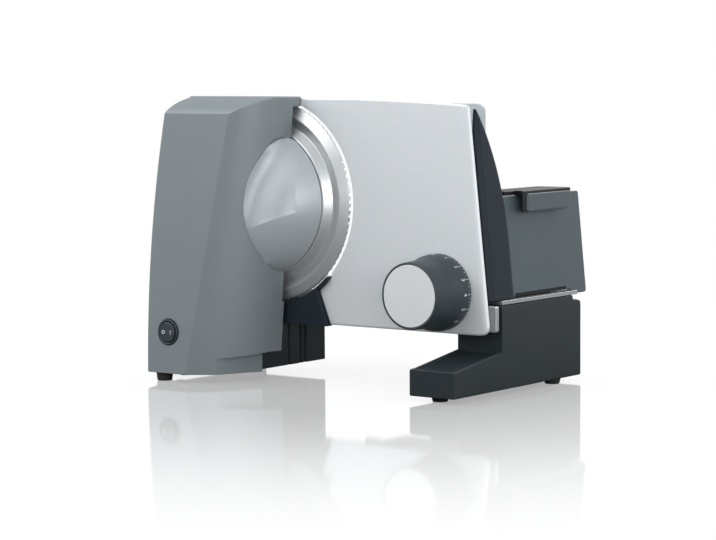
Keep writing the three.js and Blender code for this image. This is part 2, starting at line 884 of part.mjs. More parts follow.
function plateBracket() {
  const bar = prismY(
    [
      [bracketLeft, plateBottom + 2.6],
      [bracketRight, plateBottom + 2.6],
      [bracketRight, bracketTop],
      [bracketLeft, bracketTop],
    ],
    plateBack + gap,
    plateBack + gap + bracketThick,
  );
  return cut(bar, rodY(followerRadius + gap * 2, -farCut, farCut, knobX, followerZ));
}

const bracketBack = plateBack + gap + bracketThick;
const tieThick = 6;
const tieMargin = 8;

function guideRod(x) {
  return rodY(guideRodRadius, bracketBack + gap, guideRodEnd, x, guideRodZ);
}

function rodTie() {
  const tieBack = guideRodEnd - rodTieInset;
  const tie = box(guideRodXs[0] - tieMargin, guideRodXs[1] + tieMargin, tieBack - tieThick, tieBack,
    guideRodZ - tieMargin, guideRodZ + tieMargin);
  return cut(tie, ...guideRodXs.map((x) => rodY(guideRodRadius + gap, 0, far, x, guideRodZ)));
}

const bushOuter = guideRodRadius + gap + bushWall;

function guideBush(x) {
  const profile = [
    [guideRodRadius + gap, guideBlockFront],
    [bushOuter, guideBlockFront],
    [bushOuter, guideBlockBack],
    [guideRodRadius + gap, guideBlockBack],
  ];
  return turned(profile).translate(x, 0, guideRodZ);
}

function guideBlock() {
  const block = box(guideBlockLeft, guideBlockRight, guideBlockFront, guideBlockBack, guideBlockBottom,
    bridgeTop - bridgeSheet - gap);
  return cut(
    block,
    ...guideRodXs.map((x) => rodY(bushOuter + gap, 0, far, x, guideRodZ)),
    rodY(followerRadius + gap, 0, guideBlockFront + 12, knobX, followerZ, 16),
  );
}

// Knob: a hollow cap on a stud, with a drum whose groove runs on a fixed follower
const knobSeat = plateFront - gap - 0.1;
const knobTip = plateFront - knobLength;
const pinRestY = -28;
const camLead = (plateTravel * 360) / knobSweep;

function knob() {
  const face = knobTip + discThick + 0.2;
  const inside = face + 2.8;
  const body = turned(
    [
      [knobBaseRadius, knobSeat],
      [knobBaseRadius - 0.5, -knobSkirt],
      [knobBaseRadius - 2.2, -knobWaist],
      [knobFrontRadius + 0.5, knobTip + 10],
      [knobFrontRadius, knobTip + 1],
      [knobFrontRadius - 0.8, knobTip],
      [knobFrontRadius - 1.5, knobTip],
      [knobFrontRadius - 1.5, face],
      [studRadius + gap, face],
      [studRadius + gap, knobSeat],
      [knobDrumRadius, knobSeat],
      [knobDrumRadius, inside],
      [knobFrontRadius - knobWall, inside],
      [knobFrontRadius + 0.5 - knobWall, knobTip + 10],
      [knobBaseRadius - 2.2 - knobWall, -knobWaist],
      [knobBaseRadius - knobWall, knobSeat],
    ],
    40,
  );
  const sweep = (knobSweep * Math.PI) / 180;
  const grooveRun = 0.16;
  const groove = helixRidge(
    knobDrumRadius - grooveDepth,
    knobDrumRadius + 0.6,
    followerPin + 0.5,
    followerPin + 0.5,
    camLead,
    pinRestY,
    grooveRun,
    -sweep - grooveRun,
    20,
  ).translate(0, (-grooveRun * camLead) / (2 * Math.PI), 0);
  return cut(body, groove.rotateY(Math.PI / 2)).translate(knobX, 0, knobZ);
}

function knobDisc() {
  return turned([
    [0, knobTip],
    [0, knobTip + discThick - 0.1],
    [knobFrontRadius - 1.8, knobTip + discThick - 0.1],
    [knobFrontRadius - 1.8, knobTip + 0.4],
    [knobFrontRadius - 2.4, knobTip],
  ], 40).translate(knobX, 0, knobZ);
}

function knobStud() {
  return rodY(studRadius, knobTip + discThick + 0.5, plateFront - gap, knobX, knobZ);
}

function camFollower() {
  const tip = pinRestY - followerPin - 0.6;
  const rod = rodY(followerRadius, tip, guideBlockFront + 11.5, knobX, followerZ, 16);
  const pin = rodZ(followerPin, followerZ, knobZ - knobDrumRadius + grooveDepth - 0.6, knobX, pinRestY, 16);
  return join(rod, pin);
}

// Carriage: outer wall leans with the plate's end
function wallX(z) {
  return carriageWallX - carriageWallLean * (z - carriageWallTop);
}

function leaningSlab(outline, offset, thick) {
  const slab = prismX(outline, offset, offset + thick);
  const place = slab.attributes.position;
  for (let i = 0; i < place.count; i++) place.setX(i, place.getX(i) + wallX(place.getZ(i)));
  return slab;
}

const wallBottom = carriageFloorZ - 1.5;

function carriageTray() {
  const wall = leaningSlab(
    [
      [carriageFront, wallBottom],
      [bridgeBack + 1.5, wallBottom],
      [bridgeBack + 1.5, wallBottom - carriageHookDrop],
      [carriageWallBack, wallBottom - carriageHookDrop],
      [carriageWallBack, carriageWallTop],
      [carriageFront, carriageWallTop],
    ],
    -carriageWallThick,
    carriageWallThick,
  );
  const floorTop = carriageFloorZ + carriageFloorThick;
  const floor = box(carriageLeft, wallX(carriageFloorZ) - 1, carriageFront, carriageFloorBack,
    carriageFloorZ, floorTop);
  const lip = box(carriageLeft, wallX(carriageFloorZ) - 1, carriageFloorBack - 4, carriageFloorBack,
    carriageFloorZ, floorTop + 10);
  return join(floor, lip, wall);
}

function glide(y) {
  return box(carriageLeft + 4, wallX(carriageFloorZ) - 12, y, y + glideWidth, bridgeTop + gap,
    carriageFloorZ - gap);
}

// Thumb guard: the tall leaf of the wall beside the plate, with a curved free edge
function thumbGuard() {
  const outline = [[guardFront, wallBottom], [guardFront + guardWidth, wallBottom]];
  const count = 8;
  for (let i = 0; i <= count; i++) {
    const share = i / count;
    const z = guardStraightTop + share * (guardTop - guardStraightTop);
    outline.push([guardFront + guardWidth * (1 - (1 - guardTipShare) * Math.pow(share, guardCurve)), z]);
  }
  outline.push([guardFront, guardTop]);
  return leaningSlab(outline, gap, guardThick);
}

// Food holder: an arm over the wall, a lip on the operator's side, a pusher plate and its spikes
function holderHook() {
  const armBottom = carriageWallTop + gap + 0.1;
  const armTop = armBottom + holderSheet;
  const lipInside = carriageWallX + guardThick + 1.4;
  const arm = box(pusherRight + gap, wallX(carriageWallTop) - 0.5, holderArmFront, holderBack, armBottom, armTop);
  const lipOutside = lipInside + holderLipReach;
  const bar = box(pusherRight + gap, lipOutside, holderLipFront, holderBack, armBottom, armTop);
  const lip = box(lipOutside - holderLipThick, lipOutside, holderLipFront, holderBack,
    holderLipBottom, armTop);
  return join(arm, bar, lip);
}

function pusherPlate() {
  const low = carriageFloorZ + carriageFloorThick + 2;
  return prismY(
    [
      [pusherLeft, low],
      [pusherRight, low],
      [pusherRight, pusherTop - pusherCorner],
      [pusherRight - 0.3 * pusherCorner, pusherTop - 0.3 * pusherCorner],
      [pusherRight - pusherCorner, pusherTop],
      [pusherLeft + pusherCorner, pusherTop],
      [pusherLeft + 0.3 * pusherCorner, pusherTop - 0.3 * pusherCorner],
      [pusherLeft, pusherTop - pusherCorner],
    ],
    pusherY,
    pusherY + pusherThick,
  );
}

function spikeComb() {
  const back = pusherY - gap;
  const bar = box(pusherLeft + pusherCorner, pusherRight - pusherCorner, back - combThick, back,
    -combHalfHeight, combHalfHeight);
  const spikes = [];
  for (const x of spikeXs) {
    for (const z of spikeZs) {
      const middle = (pusherLeft + pusherRight) / 2 + x;
      const cone = new THREE.ConeGeometry(spikeRadius, spikeLength, 8).rotateX(Math.PI);
      spikes.push(cone.translate(middle, back - combThick + 0.5 - spikeLength / 2, z));
    }
  }
  return join(bar, ...spikes);
}

// The cover's upper corner reaches over to the stop plate
function bladeCoverPlate() {
  const low = underBlade + gap;
  const hornX = plateLeftX - gap;
  const hornRadius = pocketRadius + gap;
  return prismY(
    [
      [leftBackHeadX + 3, low],
      [baseRight - 6, low],
      [coverRight, low + coverCorner],
      [coverRight, Math.sqrt(hornRadius * hornRadius - coverRight * coverRight)],
      [hornX, Math.sqrt(hornRadius * hornRadius - hornX * hornX)],
      [hornX, plateTop],
      [coverRight, housingTop - 1],
      [topLeftBackX + 4, housingTop - 1],
      [leftBackHeadX + 3, frontCreaseZ - 4],
    ],
    housingBackY + gap,
    housingBackY + gap + 2,
  );
}

// Switch: a round bezel sunk in the front facet and a rocker that turns about an upright pin
const bezelFront = switchSeatY - 1.2;

function switchBezel() {
  const outer = switchRadius + bezelWall;
  return turned([
    [switchRadius, bezelFront],
    [outer, bezelFront],
    [outer, bezelFront + 12],
    [switchRadius, bezelFront + 12],
  ], 28).translate(switchX, 0, switchZ);
}

function switchRocker() {
  const radius = switchRadius - runGap;
  const pad = rodY(radius, bezelFront - 1.6, bezelFront + 6, switchX, switchZ, 28);
  const roundedBack = rodZ(radius, switchZ - farCut, switchZ + farCut, switchX, bezelFront + 1);
  return common(pad, roundedBack);
}

function cordGland() {
  return turned([
    [glandBore, 0],
    [glandRadius, 0],
    [glandRadius - 1, glandLength],
    [glandBore, glandLength],
  ]).translate(glandX, baseBack + gap, glandZ);
}

// Assembly
add("motor_housing", motorHousing(), silverPlastic);
add("gear_head_cap", gearHeadCap(), capSilver);
add("blade", blade(), polishedSteel);
add("blade_hub", bladeHub(), steel);
add("blade_shaft", rodY(shaftRadius, shaftEnd, shaftTop, 0, 0), steel);
add("blade_screw", bladeScrew(), blackPlastic);
add("worm_wheel", wormWheel(), whitePlastic);
add("worm_rotor", wormRotor(), steel);
add("cooling_fan", coolingFan(), blackPlastic);
add("gear_frame", gearFrame(), aluminium);
add("shaft_bush", shaftBush(), brass);
add("motor_can", motorCan(), steel);
add("motor_end_cap", motorEndCap(), blackPlastic);
add("base_frame", baseFrame(), darkPlastic);
add("frame_cover", frameCover(), darkPlastic);
add("base_cover", baseCover(), darkPlastic);
screwSpots.forEach(([x, y], i) => add("cover_screw_" + (i + 1), coverScrew(x, y), steel));
add("bridge_rail", bridgeRail(), aluminium);
add("right_foot", rightFoot(), darkPlastic);
add("foot_cover", footCover(), darkPlastic);
for (const [name, x, y, top] of footSpots) add("rubber_foot_" + name, rubberFoot(x, y, top), rubber);
add("stop_plate", stopPlate(), aluminium);
add("plate_bracket", plateBracket(), aluminium);
guideRodXs.forEach((x, i) => add("guide_rod_" + (i + 1), guideRod(x), steel));
add("rod_tie", rodTie(), steel);
guideRodXs.forEach((x, i) => add("guide_bush_" + (i + 1), guideBush(x), brass));
add("guide_block", guideBlock(), darkPlastic);
add("knob", knob(), darkPlastic);
add("knob_disc", knobDisc(), aluminium);
add("knob_stud", knobStud(), steel);
add("cam_follower", camFollower(), steel);
add("carriage_tray", carriageTray(), greyPlastic);
glideYs.forEach((y, i) => add("carriage_glide_" + glideNames[i], glide(y), whitePlastic));
add("thumb_guard", thumbGuard(), darkPlastic);
add("holder_hook", holderHook(), greyPlastic);
add("pusher_plate", pusherPlate(), lightGreyPlastic);
add("spike_comb", spikeComb(), steel);
add("blade_cover_plate", bladeCoverPlate(), aluminium);
add("switch_bezel", switchBezel(), blackPlastic);
add("switch_rocker", switchRocker(), blackPlastic);
add("cord_gland", cordGland(), blackPlastic);

// Stand the slicer on z = 0 with the middle of its footprint at the origin
const extent = new THREE.Box3().setFromObject(slicer);
slicer.position.set(-(extent.min.x + extent.max.x) / 2, -(extent.min.y + extent.max.y) / 2, -extent.min.z);

export default slicer;
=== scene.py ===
import json
import math

import bpy
import numpy as np
from mathutils import Matrix, Vector


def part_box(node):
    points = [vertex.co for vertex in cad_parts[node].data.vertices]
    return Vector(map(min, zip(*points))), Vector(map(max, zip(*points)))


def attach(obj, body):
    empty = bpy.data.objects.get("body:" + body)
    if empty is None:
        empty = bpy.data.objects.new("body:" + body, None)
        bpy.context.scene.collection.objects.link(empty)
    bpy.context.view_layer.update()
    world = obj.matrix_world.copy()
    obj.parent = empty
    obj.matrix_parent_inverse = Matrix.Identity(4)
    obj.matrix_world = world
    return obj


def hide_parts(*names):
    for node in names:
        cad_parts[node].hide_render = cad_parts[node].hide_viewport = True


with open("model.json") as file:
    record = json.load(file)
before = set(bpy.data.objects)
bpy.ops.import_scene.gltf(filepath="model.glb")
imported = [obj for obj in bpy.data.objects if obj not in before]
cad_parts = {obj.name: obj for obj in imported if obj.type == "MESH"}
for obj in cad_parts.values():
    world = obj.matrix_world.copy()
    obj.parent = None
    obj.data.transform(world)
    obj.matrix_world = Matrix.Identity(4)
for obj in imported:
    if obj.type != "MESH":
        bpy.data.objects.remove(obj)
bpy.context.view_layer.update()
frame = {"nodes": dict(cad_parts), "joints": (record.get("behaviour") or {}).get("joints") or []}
bladeAxis = np.array([j["pos_m"] for j in frame["joints"] if j["name"] == "blade_spin"][0])
print("frame loaded:", len(frame["nodes"]), "solids")

# Every piece below is drawn in millimetres from the blade's axis, as the solids were


def toMetres(points):
    return bladeAxis + np.asarray(points, float) * 0.001


def linear(hexColour):  # sRGB hex to the linear numbers that the sockets take
    parts = np.array([int(hexColour[i:i + 2], 16) for i in (1, 3, 5)]) / 255
    curved = ((parts + 0.055) / 1.055) ** 2.4
    return tuple(np.where(parts <= 0.04045, parts / 12.92, curved)) + (1.0,)


def addNode(tree, kind, settings=None, links=None):
    # One shader node and its settings; a link comes from a socket, or from the first output of a node
    made = tree.nodes.new("ShaderNode" + kind)
    for key, value in (settings or {}).items():
        if isinstance(key, str) and hasattr(made, key):
            setattr(made, key, value)
        else:
            made.inputs[key].default_value = value
    for key, source in (links or {}).items():
        tree.links.new(getattr(source, "outputs", [source])[0], made.inputs[key])
    return made


def newMaterial(name):
    material = bpy.data.materials.new(name)
    material.use_nodes = True
    material.node_tree.nodes.clear()
    return material, material.node_tree


def linkMesh(name, points, faces, material):
    mesh = bpy.data.meshes.new(name)
    mesh.from_pydata(np.asarray(points).tolist(), [], faces)
    mesh.update()
    obj = bpy.data.objects.new(name, mesh)
    bpy.context.scene.collection.objects.link(obj)
    mesh.materials.append(material)
    return obj


# Camera: placed from the photograph's lines, 716 x 540
cameraSet = {"place": (1256.5, -1553.2, 111.7), "aim": (90, 0, -54), "roll": -0.37, "lens": 120.67, "sensor": 36}
lens = bpy.data.cameras.new("photoCamera")
lens.lens = cameraSet["lens"]
lens.sensor_width = cameraSet["sensor"]
lens.clip_end = 100
camera = bpy.data.objects.new("photoCamera", lens)
bpy.context.scene.collection.objects.link(camera)
eye = Vector(toMetres(cameraSet["place"]))
ahead = Vector(toMetres(cameraSet["aim"])) - eye
roll = Matrix.Rotation(math.radians(cameraSet["roll"]), 4, "Z")
camera.matrix_world = Matrix.Translation(eye) @ ahead.to_track_quat("-Z", "Y").to_matrix().to_4x4() @ roll
bpy.context.scene.camera = camera
bpy.context.scene.view_settings.view_transform = "Standard"
print("camera set")

# Studio: a white sweep behind, a dim room in front, and soft lamps in front, on the right, above and behind.
# The sweep is there for every kind of ray, so that metal shows it too
studio = {"room": 0.12, "upper": 0.8, "backwards": (-0.6, 0.8, 0.0), "floorMirror": 0.5, "floorMatt": 0.25,
          "half": 30.0}
smooth = {"interpolation_type": "SMOOTHSTEP"}
room = bpy.data.worlds.new("whiteRoom")
bpy.context.scene.world = room
room.use_nodes = True
tree = room.node_tree
tree.nodes.clear()
path = addNode(tree, "LightPath")
towards = addNode(tree, "TexCoord").outputs["Generated"]
behind = addNode(tree, "VectorMath", {"operation": "DOT_PRODUCT", 1: studio["backwards"]}, {0: towards})
backdrop = addNode(tree, "MapRange", {"From Min": -0.15, "From Max": 0.25, **smooth},
                   {"Value": behind.outputs["Value"]})
height = addNode(tree, "SeparateXYZ", None, {0: towards}).outputs["Z"]
lowBand = addNode(tree, "MapRange", {"From Min": 0.14, "From Max": 0.36, "To Min": 1.0, "To Max": 0.1, **smooth},
                  {"Value": height})
sweep = addNode(tree, "Math", {"operation": "MULTIPLY"}, {0: backdrop, 1: lowBand})
seen = addNode(tree, "Math", {"operation": "MAXIMUM"}, {0: path.outputs["Is Camera Ray"], 1: sweep})
ceiling = addNode(tree, "MapRange", {"From Min": 0.05, "From Max": 0.6, "To Min": studio["room"],
                                     "To Max": studio["upper"], **smooth}, {"Value": height})
lit = addNode(tree, "Background", {"Color": linear("#f2f5f8")}, {"Strength": ceiling})
white = addNode(tree, "Background", {"Color": linear("#ffffff"), "Strength": 1.0})
mixed = addNode(tree, "MixShader", None, {0: seen, 1: lit, 2: white})
addNode(tree, "OutputWorld", None, {"Surface": mixed})

lamps = [  # name, place and aim in metres, size, watts
    ("frontLamp", (0.95, -0.8, 0.3), (0, 0, 0.12), (0.9, 0.4), 6),
    ("rightLamp", (1.3, 0.15, 0.5), (0, 0, 0.12), (0.8, 0.8), 5),
    ("topLamp", (-0.65, -0.88, 1.0), (-0.02, -0.06, 0.15), (2.0, 1.4), 19),
    ("backLamp", (0.05, 1.3, 1.05), (0, 0, 0.15), (1.4, 0.8), 17),
]
for name, place, aim, size, watts in lamps:
    light = bpy.data.lights.new(name, "AREA")
    light.shape = "RECTANGLE"
    light.size, light.size_y = size
    light.energy = watts
    lamp = bpy.data.objects.new(name, light)
    bpy.context.scene.collection.objects.link(lamp)
    lamp.location = Vector(place)
    lamp.rotation_euler = (Vector(aim) - Vector(place)).to_track_quat("-Z", "Y").to_euler()
    lamp.visible_camera = False

# Floor: a white sheet that mirrors the object, less further away, with a share of plain white that keeps its shadow.
# Other rays than the camera's find it grey in front, so that it throws little light up
floorPaint, tree = newMaterial("glossyWhiteLaminate")
where = addNode(tree, "TexCoord").outputs["Object"]
away = addNode(tree, "VectorMath", {"operation": "LENGTH"}, {0: where}).outputs["Value"]
share = addNode(tree, "MapRange", {"From Min": 0.15, "From Max": 0.75, "To Min": studio["floorMirror"], "To Max": 0.0,
                                   **smooth}, {"Value": away})
around = addNode(tree, "MapRange", {"From Min": 0.3, "From Max": 0.8, "To Min": studio["floorMatt"], "To Max": 0.0,
                                    **smooth}, {"Value": away})
glow = addNode(tree, "Emission", {"Color": linear("#ffffff"), "Strength": 1.0})
pale = addNode(tree, "BsdfDiffuse", {"Color": linear("#e6e6e6")})
shadowed = addNode(tree, "MixShader", None, {0: around, 1: glow, 2: pale})
shine = addNode(tree, "BsdfGlossy", {"Color": linear("#ffffff"), "Roughness": 0.06})
white = addNode(tree, "MixShader", None, {0: share, 1: shadowed, 2: shine})
depth = addNode(tree, "SeparateXYZ", None, {0: where})
rear = addNode(tree, "MapRange", {"From Min": 0.2, "From Max": 0.8, **smooth}, {"Value": depth.outputs["Y"]})
path = addNode(tree, "LightPath")
seen = addNode(tree, "Math", {"operation": "MAXIMUM"}, {0: path.outputs["Is Camera Ray"], 1: rear})
matt = addNode(tree, "BsdfDiffuse", {"Color": linear("#7a7a7a")})
laid = addNode(tree, "MixShader", None, {0: seen, 1: matt, 2: white})
addNode(tree, "OutputMaterial", None, {"Surface": laid})
half = studio["half"]
floor = linkMesh("floor", [(-half, -half, 0), (half, -half, 0), (half, half, 0), (-half, half, 0)], [(0, 1, 2, 3)],
                 floorPaint)
print("studio set")

# Materials, each named for what it is made of and how its surface was made


def finishSurface(tree, colour, pattern, roughness, strength, depthMm, settings):
    # The end of every material: one fine pattern breaks the gloss and is the relief
    rough = addNode(tree, "MapRange", {"To Min": roughness[0], "To Max": roughness[1]}, {"Value": pattern})
    bump = addNode(tree, "Bump", {"Strength": strength, "Distance": depthMm * 0.001}, {"Height": pattern})
    shader = addNode(tree, "BsdfPrincipled", settings, {"Base Color": colour, "Roughness": rough, "Normal": bump})
    addNode(tree, "OutputMaterial", None, {"Surface": shader})


def mouldedPlastic(name, dark, light, grainMm, grainDepthMm, roughness, metallic=0.0, flakeMm=0.0, gloss=0.5):
    # Two noises: a wide one that clouds the colour slightly and a fine one, the tool's grain, that breaks the gloss
    material, tree = newMaterial(name)
    where = addNode(tree, "TexCoord").outputs["Object"]
    cloud = addNode(tree, "TexNoise", {"Scale": 1 / 0.045, "Detail": 3.0}, {"Vector": where})
    grain = addNode(tree, "TexNoise", {"Scale": 1000 / grainMm, "Detail": 2.0}, {"Vector": where})
    tone = addNode(tree, "Mix", {"data_type": "RGBA", 6: linear(dark), 7: linear(light)}, {"Factor": cloud})
    colour = tone.outputs[2]
    if flakeMm:
        flake = addNode(tree, "TexVoronoi", {"Scale": 1000 / flakeMm}, {"Vector": where})
        spark = addNode(tree, "MapRange", {"To Min": 0.94, "To Max": 1.06}, {"Value": flake})
        colour = addNode(tree, "Mix", {"data_type": "RGBA", "blend_type": "MULTIPLY", "Factor": 1.0},
                         {6: colour, 7: spark}).outputs[2]
    finishSurface(tree, colour, grain, (roughness - 0.05, roughness + 0.06), 0.5, grainDepthMm,
                  {"Metallic": metallic, "IOR": 1.53, "Specular IOR Level": gloss})
    return material


# ABS with aluminium flake in its lacquer: cool grey, soft wide highlight, faint sparkle
silverAbs = mouldedPlastic("flakeLacqueredAbs", "#757d81", "#7c8488", 0.5, 0.012, 0.46, 0.22, 0.45)
capAbs = mouldedPlastic("satinFlakeLacqueredAbs", "#a4abaf", "#acb3b7", 0.5, 0.008, 0.42, 0.25, 0.45)
# ABS from a spark-eroded tool: matt, with a fine sand grain
darkAbs = mouldedPlastic("grainedAnthraciteAbs", "#1c2428", "#21292d", 0.55, 0.03, 0.48, gloss=0.28)
slateAbs = mouldedPlastic("grainedSlateAbs", "#3c484d", "#434f54", 0.55, 0.03, 0.44, gloss=0.4)
knobAbs = mouldedPlastic("softTouchAbs", "#2b3439", "#313a3f", 0.4, 0.02, 0.50, gloss=0.35)
# Blue-black ABS for the guards; on the thumb guard this colour is painted shade, since the leaf lies in the wall's
# plane yet is far darker than the wall's slate
blueBlackAbsAndPaintedShade = mouldedPlastic("satinBlueBlackAbs", "#19222a", "#1e272f", 0.5, 0.02, 0.48, gloss=0.15)
paleAbs = mouldedPlastic("satinPaleGreyAbs", "#a2a9ac", "#aab1b4", 0.5, 0.015, 0.40)
# Polyamide: near black or dark grey, soft highlight
blackNylon = mouldedPlastic("blackPolyamide", "#0d0f11", "#121416", 0.4, 0.012, 0.55, gloss=0.25)
switchNylon = mouldedPlastic("satinGreyPolyamide", "#2a3236", "#30383c", 0.4, 0.012, 0.40)
# Acetal: waxy white
acetal = mouldedPlastic("milledAcetal", "#dcdad2", "#e5e3dc", 0.8, 0.01, 0.42)
# Rubber: dull, with a dusty bloom
rubber = mouldedPlastic("mouldedNitrileRubber", "#131415", "#1d1e1f", 0.6, 0.04, 0.80)
# Pad-printed ink: plain white, a little soft at the edge
printInk = mouldedPlastic("padPrintedInk", "#cfd4d6", "#dce0e2", 0.2, 0.004, 0.5)


def metalSurface(name, dark, light, roughness, lineMm, lineDepthMm, along, spread=0.06, centre=None, metallic=1.0):
    # Long thin noise in the direction of the working: along a straight axis, or round a centre where one is given
    material, tree = newMaterial(name)
    where = addNode(tree, "TexCoord").outputs["Object"]
    fine = 1000 / lineMm
    axis = "XYZ".index(along)
    if centre is None:
        stretch = [fine, fine, fine]
        stretch[axis] = fine / 60
        run = addNode(tree, "Mapping", {"Scale": stretch}, {"Vector": where})
        lines = addNode(tree, "TexNoise", {"Scale": 1.0, "Detail": 2.0}, {"Vector": run})
    else:
        keep = [1.0, 1.0, 1.0]
        keep[axis] = 0.0
        shift = [-c * k for c, k in zip(centre, keep)]
        run = addNode(tree, "Mapping", {"Location": shift, "Scale": keep}, {"Vector": where})
        reach = addNode(tree, "VectorMath", {"operation": "LENGTH"}, {0: run}).outputs["Value"]
        lines = addNode(tree, "TexNoise", {"noise_dimensions": "1D", "Scale": fine, "Detail": 2.0}, {"W": reach})
    tone = addNode(tree, "Mix", {"data_type": "RGBA", 6: linear(dark), 7: linear(light)}, {"Factor": lines})
    finishSurface(tree, tone.outputs[2], lines, (roughness - spread, roughness + spread), 0.4, lineDepthMm,
                  {"Metallic": metallic})
    return material


# Lines real steel carries are near 0.05 mm; they are drawn about 0.3 to 0.6 mm so that the render holds them
knobSpot = (169.8, -68.0)
knobCentre = toMetres((knobSpot[0], 0, knobSpot[1]))
bladeSteel = metalSurface("groundStainlessSteel", "#c2c5c7", "#d2d5d6", 0.36, 0.6, 0.004, "Y", 0.05, bladeAxis, 0.8)
# The anodic layer on the plate and the disc scatters: they look bright but hardly mirror
plateAluminium = metalSurface("satinAnodisedAluminium", "#ced2d5", "#d6dadd", 0.50, 0.5, 0.006, "X", metallic=0.35)
discAluminium = metalSurface("spunAnodisedAluminium", "#d2d6d8", "#dcdfe1", 0.44, 0.5, 0.004, "Y", 0.05, knobCentre,
                             0.35)
# Bare metals: an extrusion's long lines, a casting's coarse skin, lathe lines, zinc's dull sheen, warm sintered bronze
railAluminium = metalSurface("extrudedAluminium", "#9ba0a3", "#a8acaf", 0.34, 0.5, 0.006, "X")
castAluminium = metalSurface("dieCastAluminium", "#a8acae", "#b6babb", 0.5, 1.5, 0.03, "Z", 0.08)
turnedSteel = metalSurface("turnedMildSteel", "#9ba1a5", "#a9afb3", 0.32, 0.4, 0.004, "Y")
zincSteel = metalSurface("zincPlatedSteel", "#a2a7a6", "#b5bab6", 0.36, 0.8, 0.005, "Z")
bronze = metalSurface("sinteredBronze", "#a3803f", "#b8924c", 0.42, 0.6, 0.01, "Z")
print("materials made:", len(bpy.data.materials))

# Shapes


def allRound(count):  # even angles round a circle
    return np.linspace(0, 2 * math.pi, count, endpoint=False)


def gridFaces(rows, cols, wrapRows=False, wrapCols=True):  # quads between neighbouring rows of points
    r = np.arange(rows if wrapRows else rows - 1)[:, None]
    c = np.arange(cols if wrapCols else cols - 1)[None, :]
    here, below, beside = r * cols, (r + 1) % rows * cols, (c + 1) % cols
    return np.stack([here + c, here + beside, below + beside, below + c], -1).reshape(-1, 4).tolist()


def outward(points, faces):  # turns a closed shell so that its signed volume is positive
    fans = np.array([(f[0], f[i], f[i + 1]) for f in faces for i in range(1, len(f) - 1)])
    a, b, c = points[fans[:, 0]], points[fans[:, 1]], points[fans[:, 2]]
    return faces if np.einsum("ij,ij->", a, np.cross(b, c)) > 0 else [f[::-1] for f in faces]


def loft(sections, closed=False):  # rings of points joined in turn; the two ends meet, or have a flat face each
    rows, cols, _ = sections.shape
    points = sections.reshape(-1, 3)
    faces = gridFaces(rows, cols, closed)
    if not closed:
        faces += [list(range(cols))[::-1], list(range((rows - 1) * cols, rows * cols))]
    return points, outward(points, faces)


def together(*shells):  # several shells in one mesh
    counts = np.cumsum([0] + [len(points) for points, _ in shells])
    points = np.concatenate([points for points, _ in shells])
    faces = [[int(i + start) for i in f] for (_, shell), start in zip(shells, counts) for f in shell]
    return points, faces


def softCorner(before, corner, after, reach, steps, most=1.0):
    # At each corner a curve of three control points; it leaves a side at the length reach, or at the share most of it
    ends = []
    for side in (before - corner, after - corner):
        span = np.linalg.norm(side, axis=-1, keepdims=True)
        ends.append((corner + side / span * np.minimum(reach, most * span))[:, None])
    t = np.linspace(0, 1, steps)[None, :, None]
    return (1 - t) ** 2 * ends[0] + 2 * t * (1 - t) * corner[:, None] + t ** 2 * ends[1]


def roundCorners(points, radii, steps=6):  # an outline with a soft curve at each corner
    points = np.asarray(points, float)
    reach = np.broadcast_to(np.asarray(radii, float), (len(points),))[:, None]
    return softCorner(np.roll(points, 1, 0), points, np.roll(points, -1, 0), reach, steps, 0.48).reshape(-1, 2)


def inset(outline, depth):  # moves each point of an outline inwards along the mean of its two sides' normals
    ahead = np.roll(outline, -1, 0) - outline
    ahead = ahead / np.maximum(np.linalg.norm(ahead, axis=1), 1e-9)[:, None]
    normal = np.stack([ahead[:, 1], -ahead[:, 0]], 1)
    mean = normal + np.roll(normal, 1, 0)
    mean = mean / np.maximum(np.linalg.norm(mean, axis=1), 1e-9)[:, None]
    lean = np.clip(np.einsum("ij,ij->i", mean, normal), 0.5, 1)[:, None]
    u, v = outline.T
    area = np.sum(u * np.roll(v, -1) - v * np.roll(u, -1))
    return outline - math.copysign(1, area) * mean / lean * depth


def softEnds(low, high, edge):  # draw and level of each ring, with a quarter round of radius edge at both ends
    angle = np.linspace(0, math.pi / 2, 4)
    draws = [(edge * (1 - math.sin(a)), edge * (1 - math.cos(a))) for a in angle]
    return [(d, low + h) for d, h in draws] + [(d, high - h) for d, h in draws[::-1]]


def layer(outline, draw, axis, level):  # an outline, drawn in, as points in space at one level of an axis
    return np.insert(inset(np.asarray(outline, float), draw), "xyz".index(axis), level, 1)


def slab(outline, low, high, edge, axis):  # an outline carried along one axis, with soft ends
    return loft(np.array([layer(outline, d, axis, level) for d, level in softEnds(low, high, edge)]))


def prism(outline, low, high, axis):  # a sharp-edged outline carried along one axis, for cutting
    return loft(np.array([layer(outline, 0, axis, level) for level in (low, high)]))


def rectangle(u0, u1, v0, v1):
    return [(u0, v0), (u1, v0), (u1, v1), (u0, v1)]


def block(xSpan, ySpan, zSpan, edge, corner, axis):  # a box with soft edges, its ends along the axis
    spans = [xSpan, ySpan, zSpan]
    ends = spans.pop("xyz".index(axis))
    return slab(roundCorners(rectangle(*spans[0], *spans[1]), corner, 5), *ends, edge, axis)


def around(radius, y, angle):  # points at an angle about the y direction
    return np.stack(np.broadcast_arrays(radius * np.cos(angle), y, radius * np.sin(angle)), -1)


def turned(profile, count, x, z, closed=False):  # rings of a radius and a y; a closed profile stays off the axis
    profile = np.asarray(profile, float)
    return loft(around(profile[:, :1], profile[:, 1:], allRound(count)) + (x, 0, z), closed)


def smoothLine(points, steps):  # a line through the points, evenly stepped, eased by a cubic through each four
    points = np.asarray(points, float)
    padded = np.concatenate([2 * points[:1] - points[1:2], points, 2 * points[-1:] - points[-2:-1]])
    t = np.linspace(0, 1, steps, endpoint=False)[None, :, None]
    a, b, c, d = padded[:-3, None], padded[1:-2, None], padded[2:-1, None], padded[3:, None]
    curve = 0.5 * (2 * b + (c - a) * t + (2 * a - 5 * b + 4 * c - d) * t ** 2 + (3 * b - a - 3 * c + d) * t ** 3)
    return np.concatenate([curve.reshape(-1, points.shape[1]), points[-1:]])


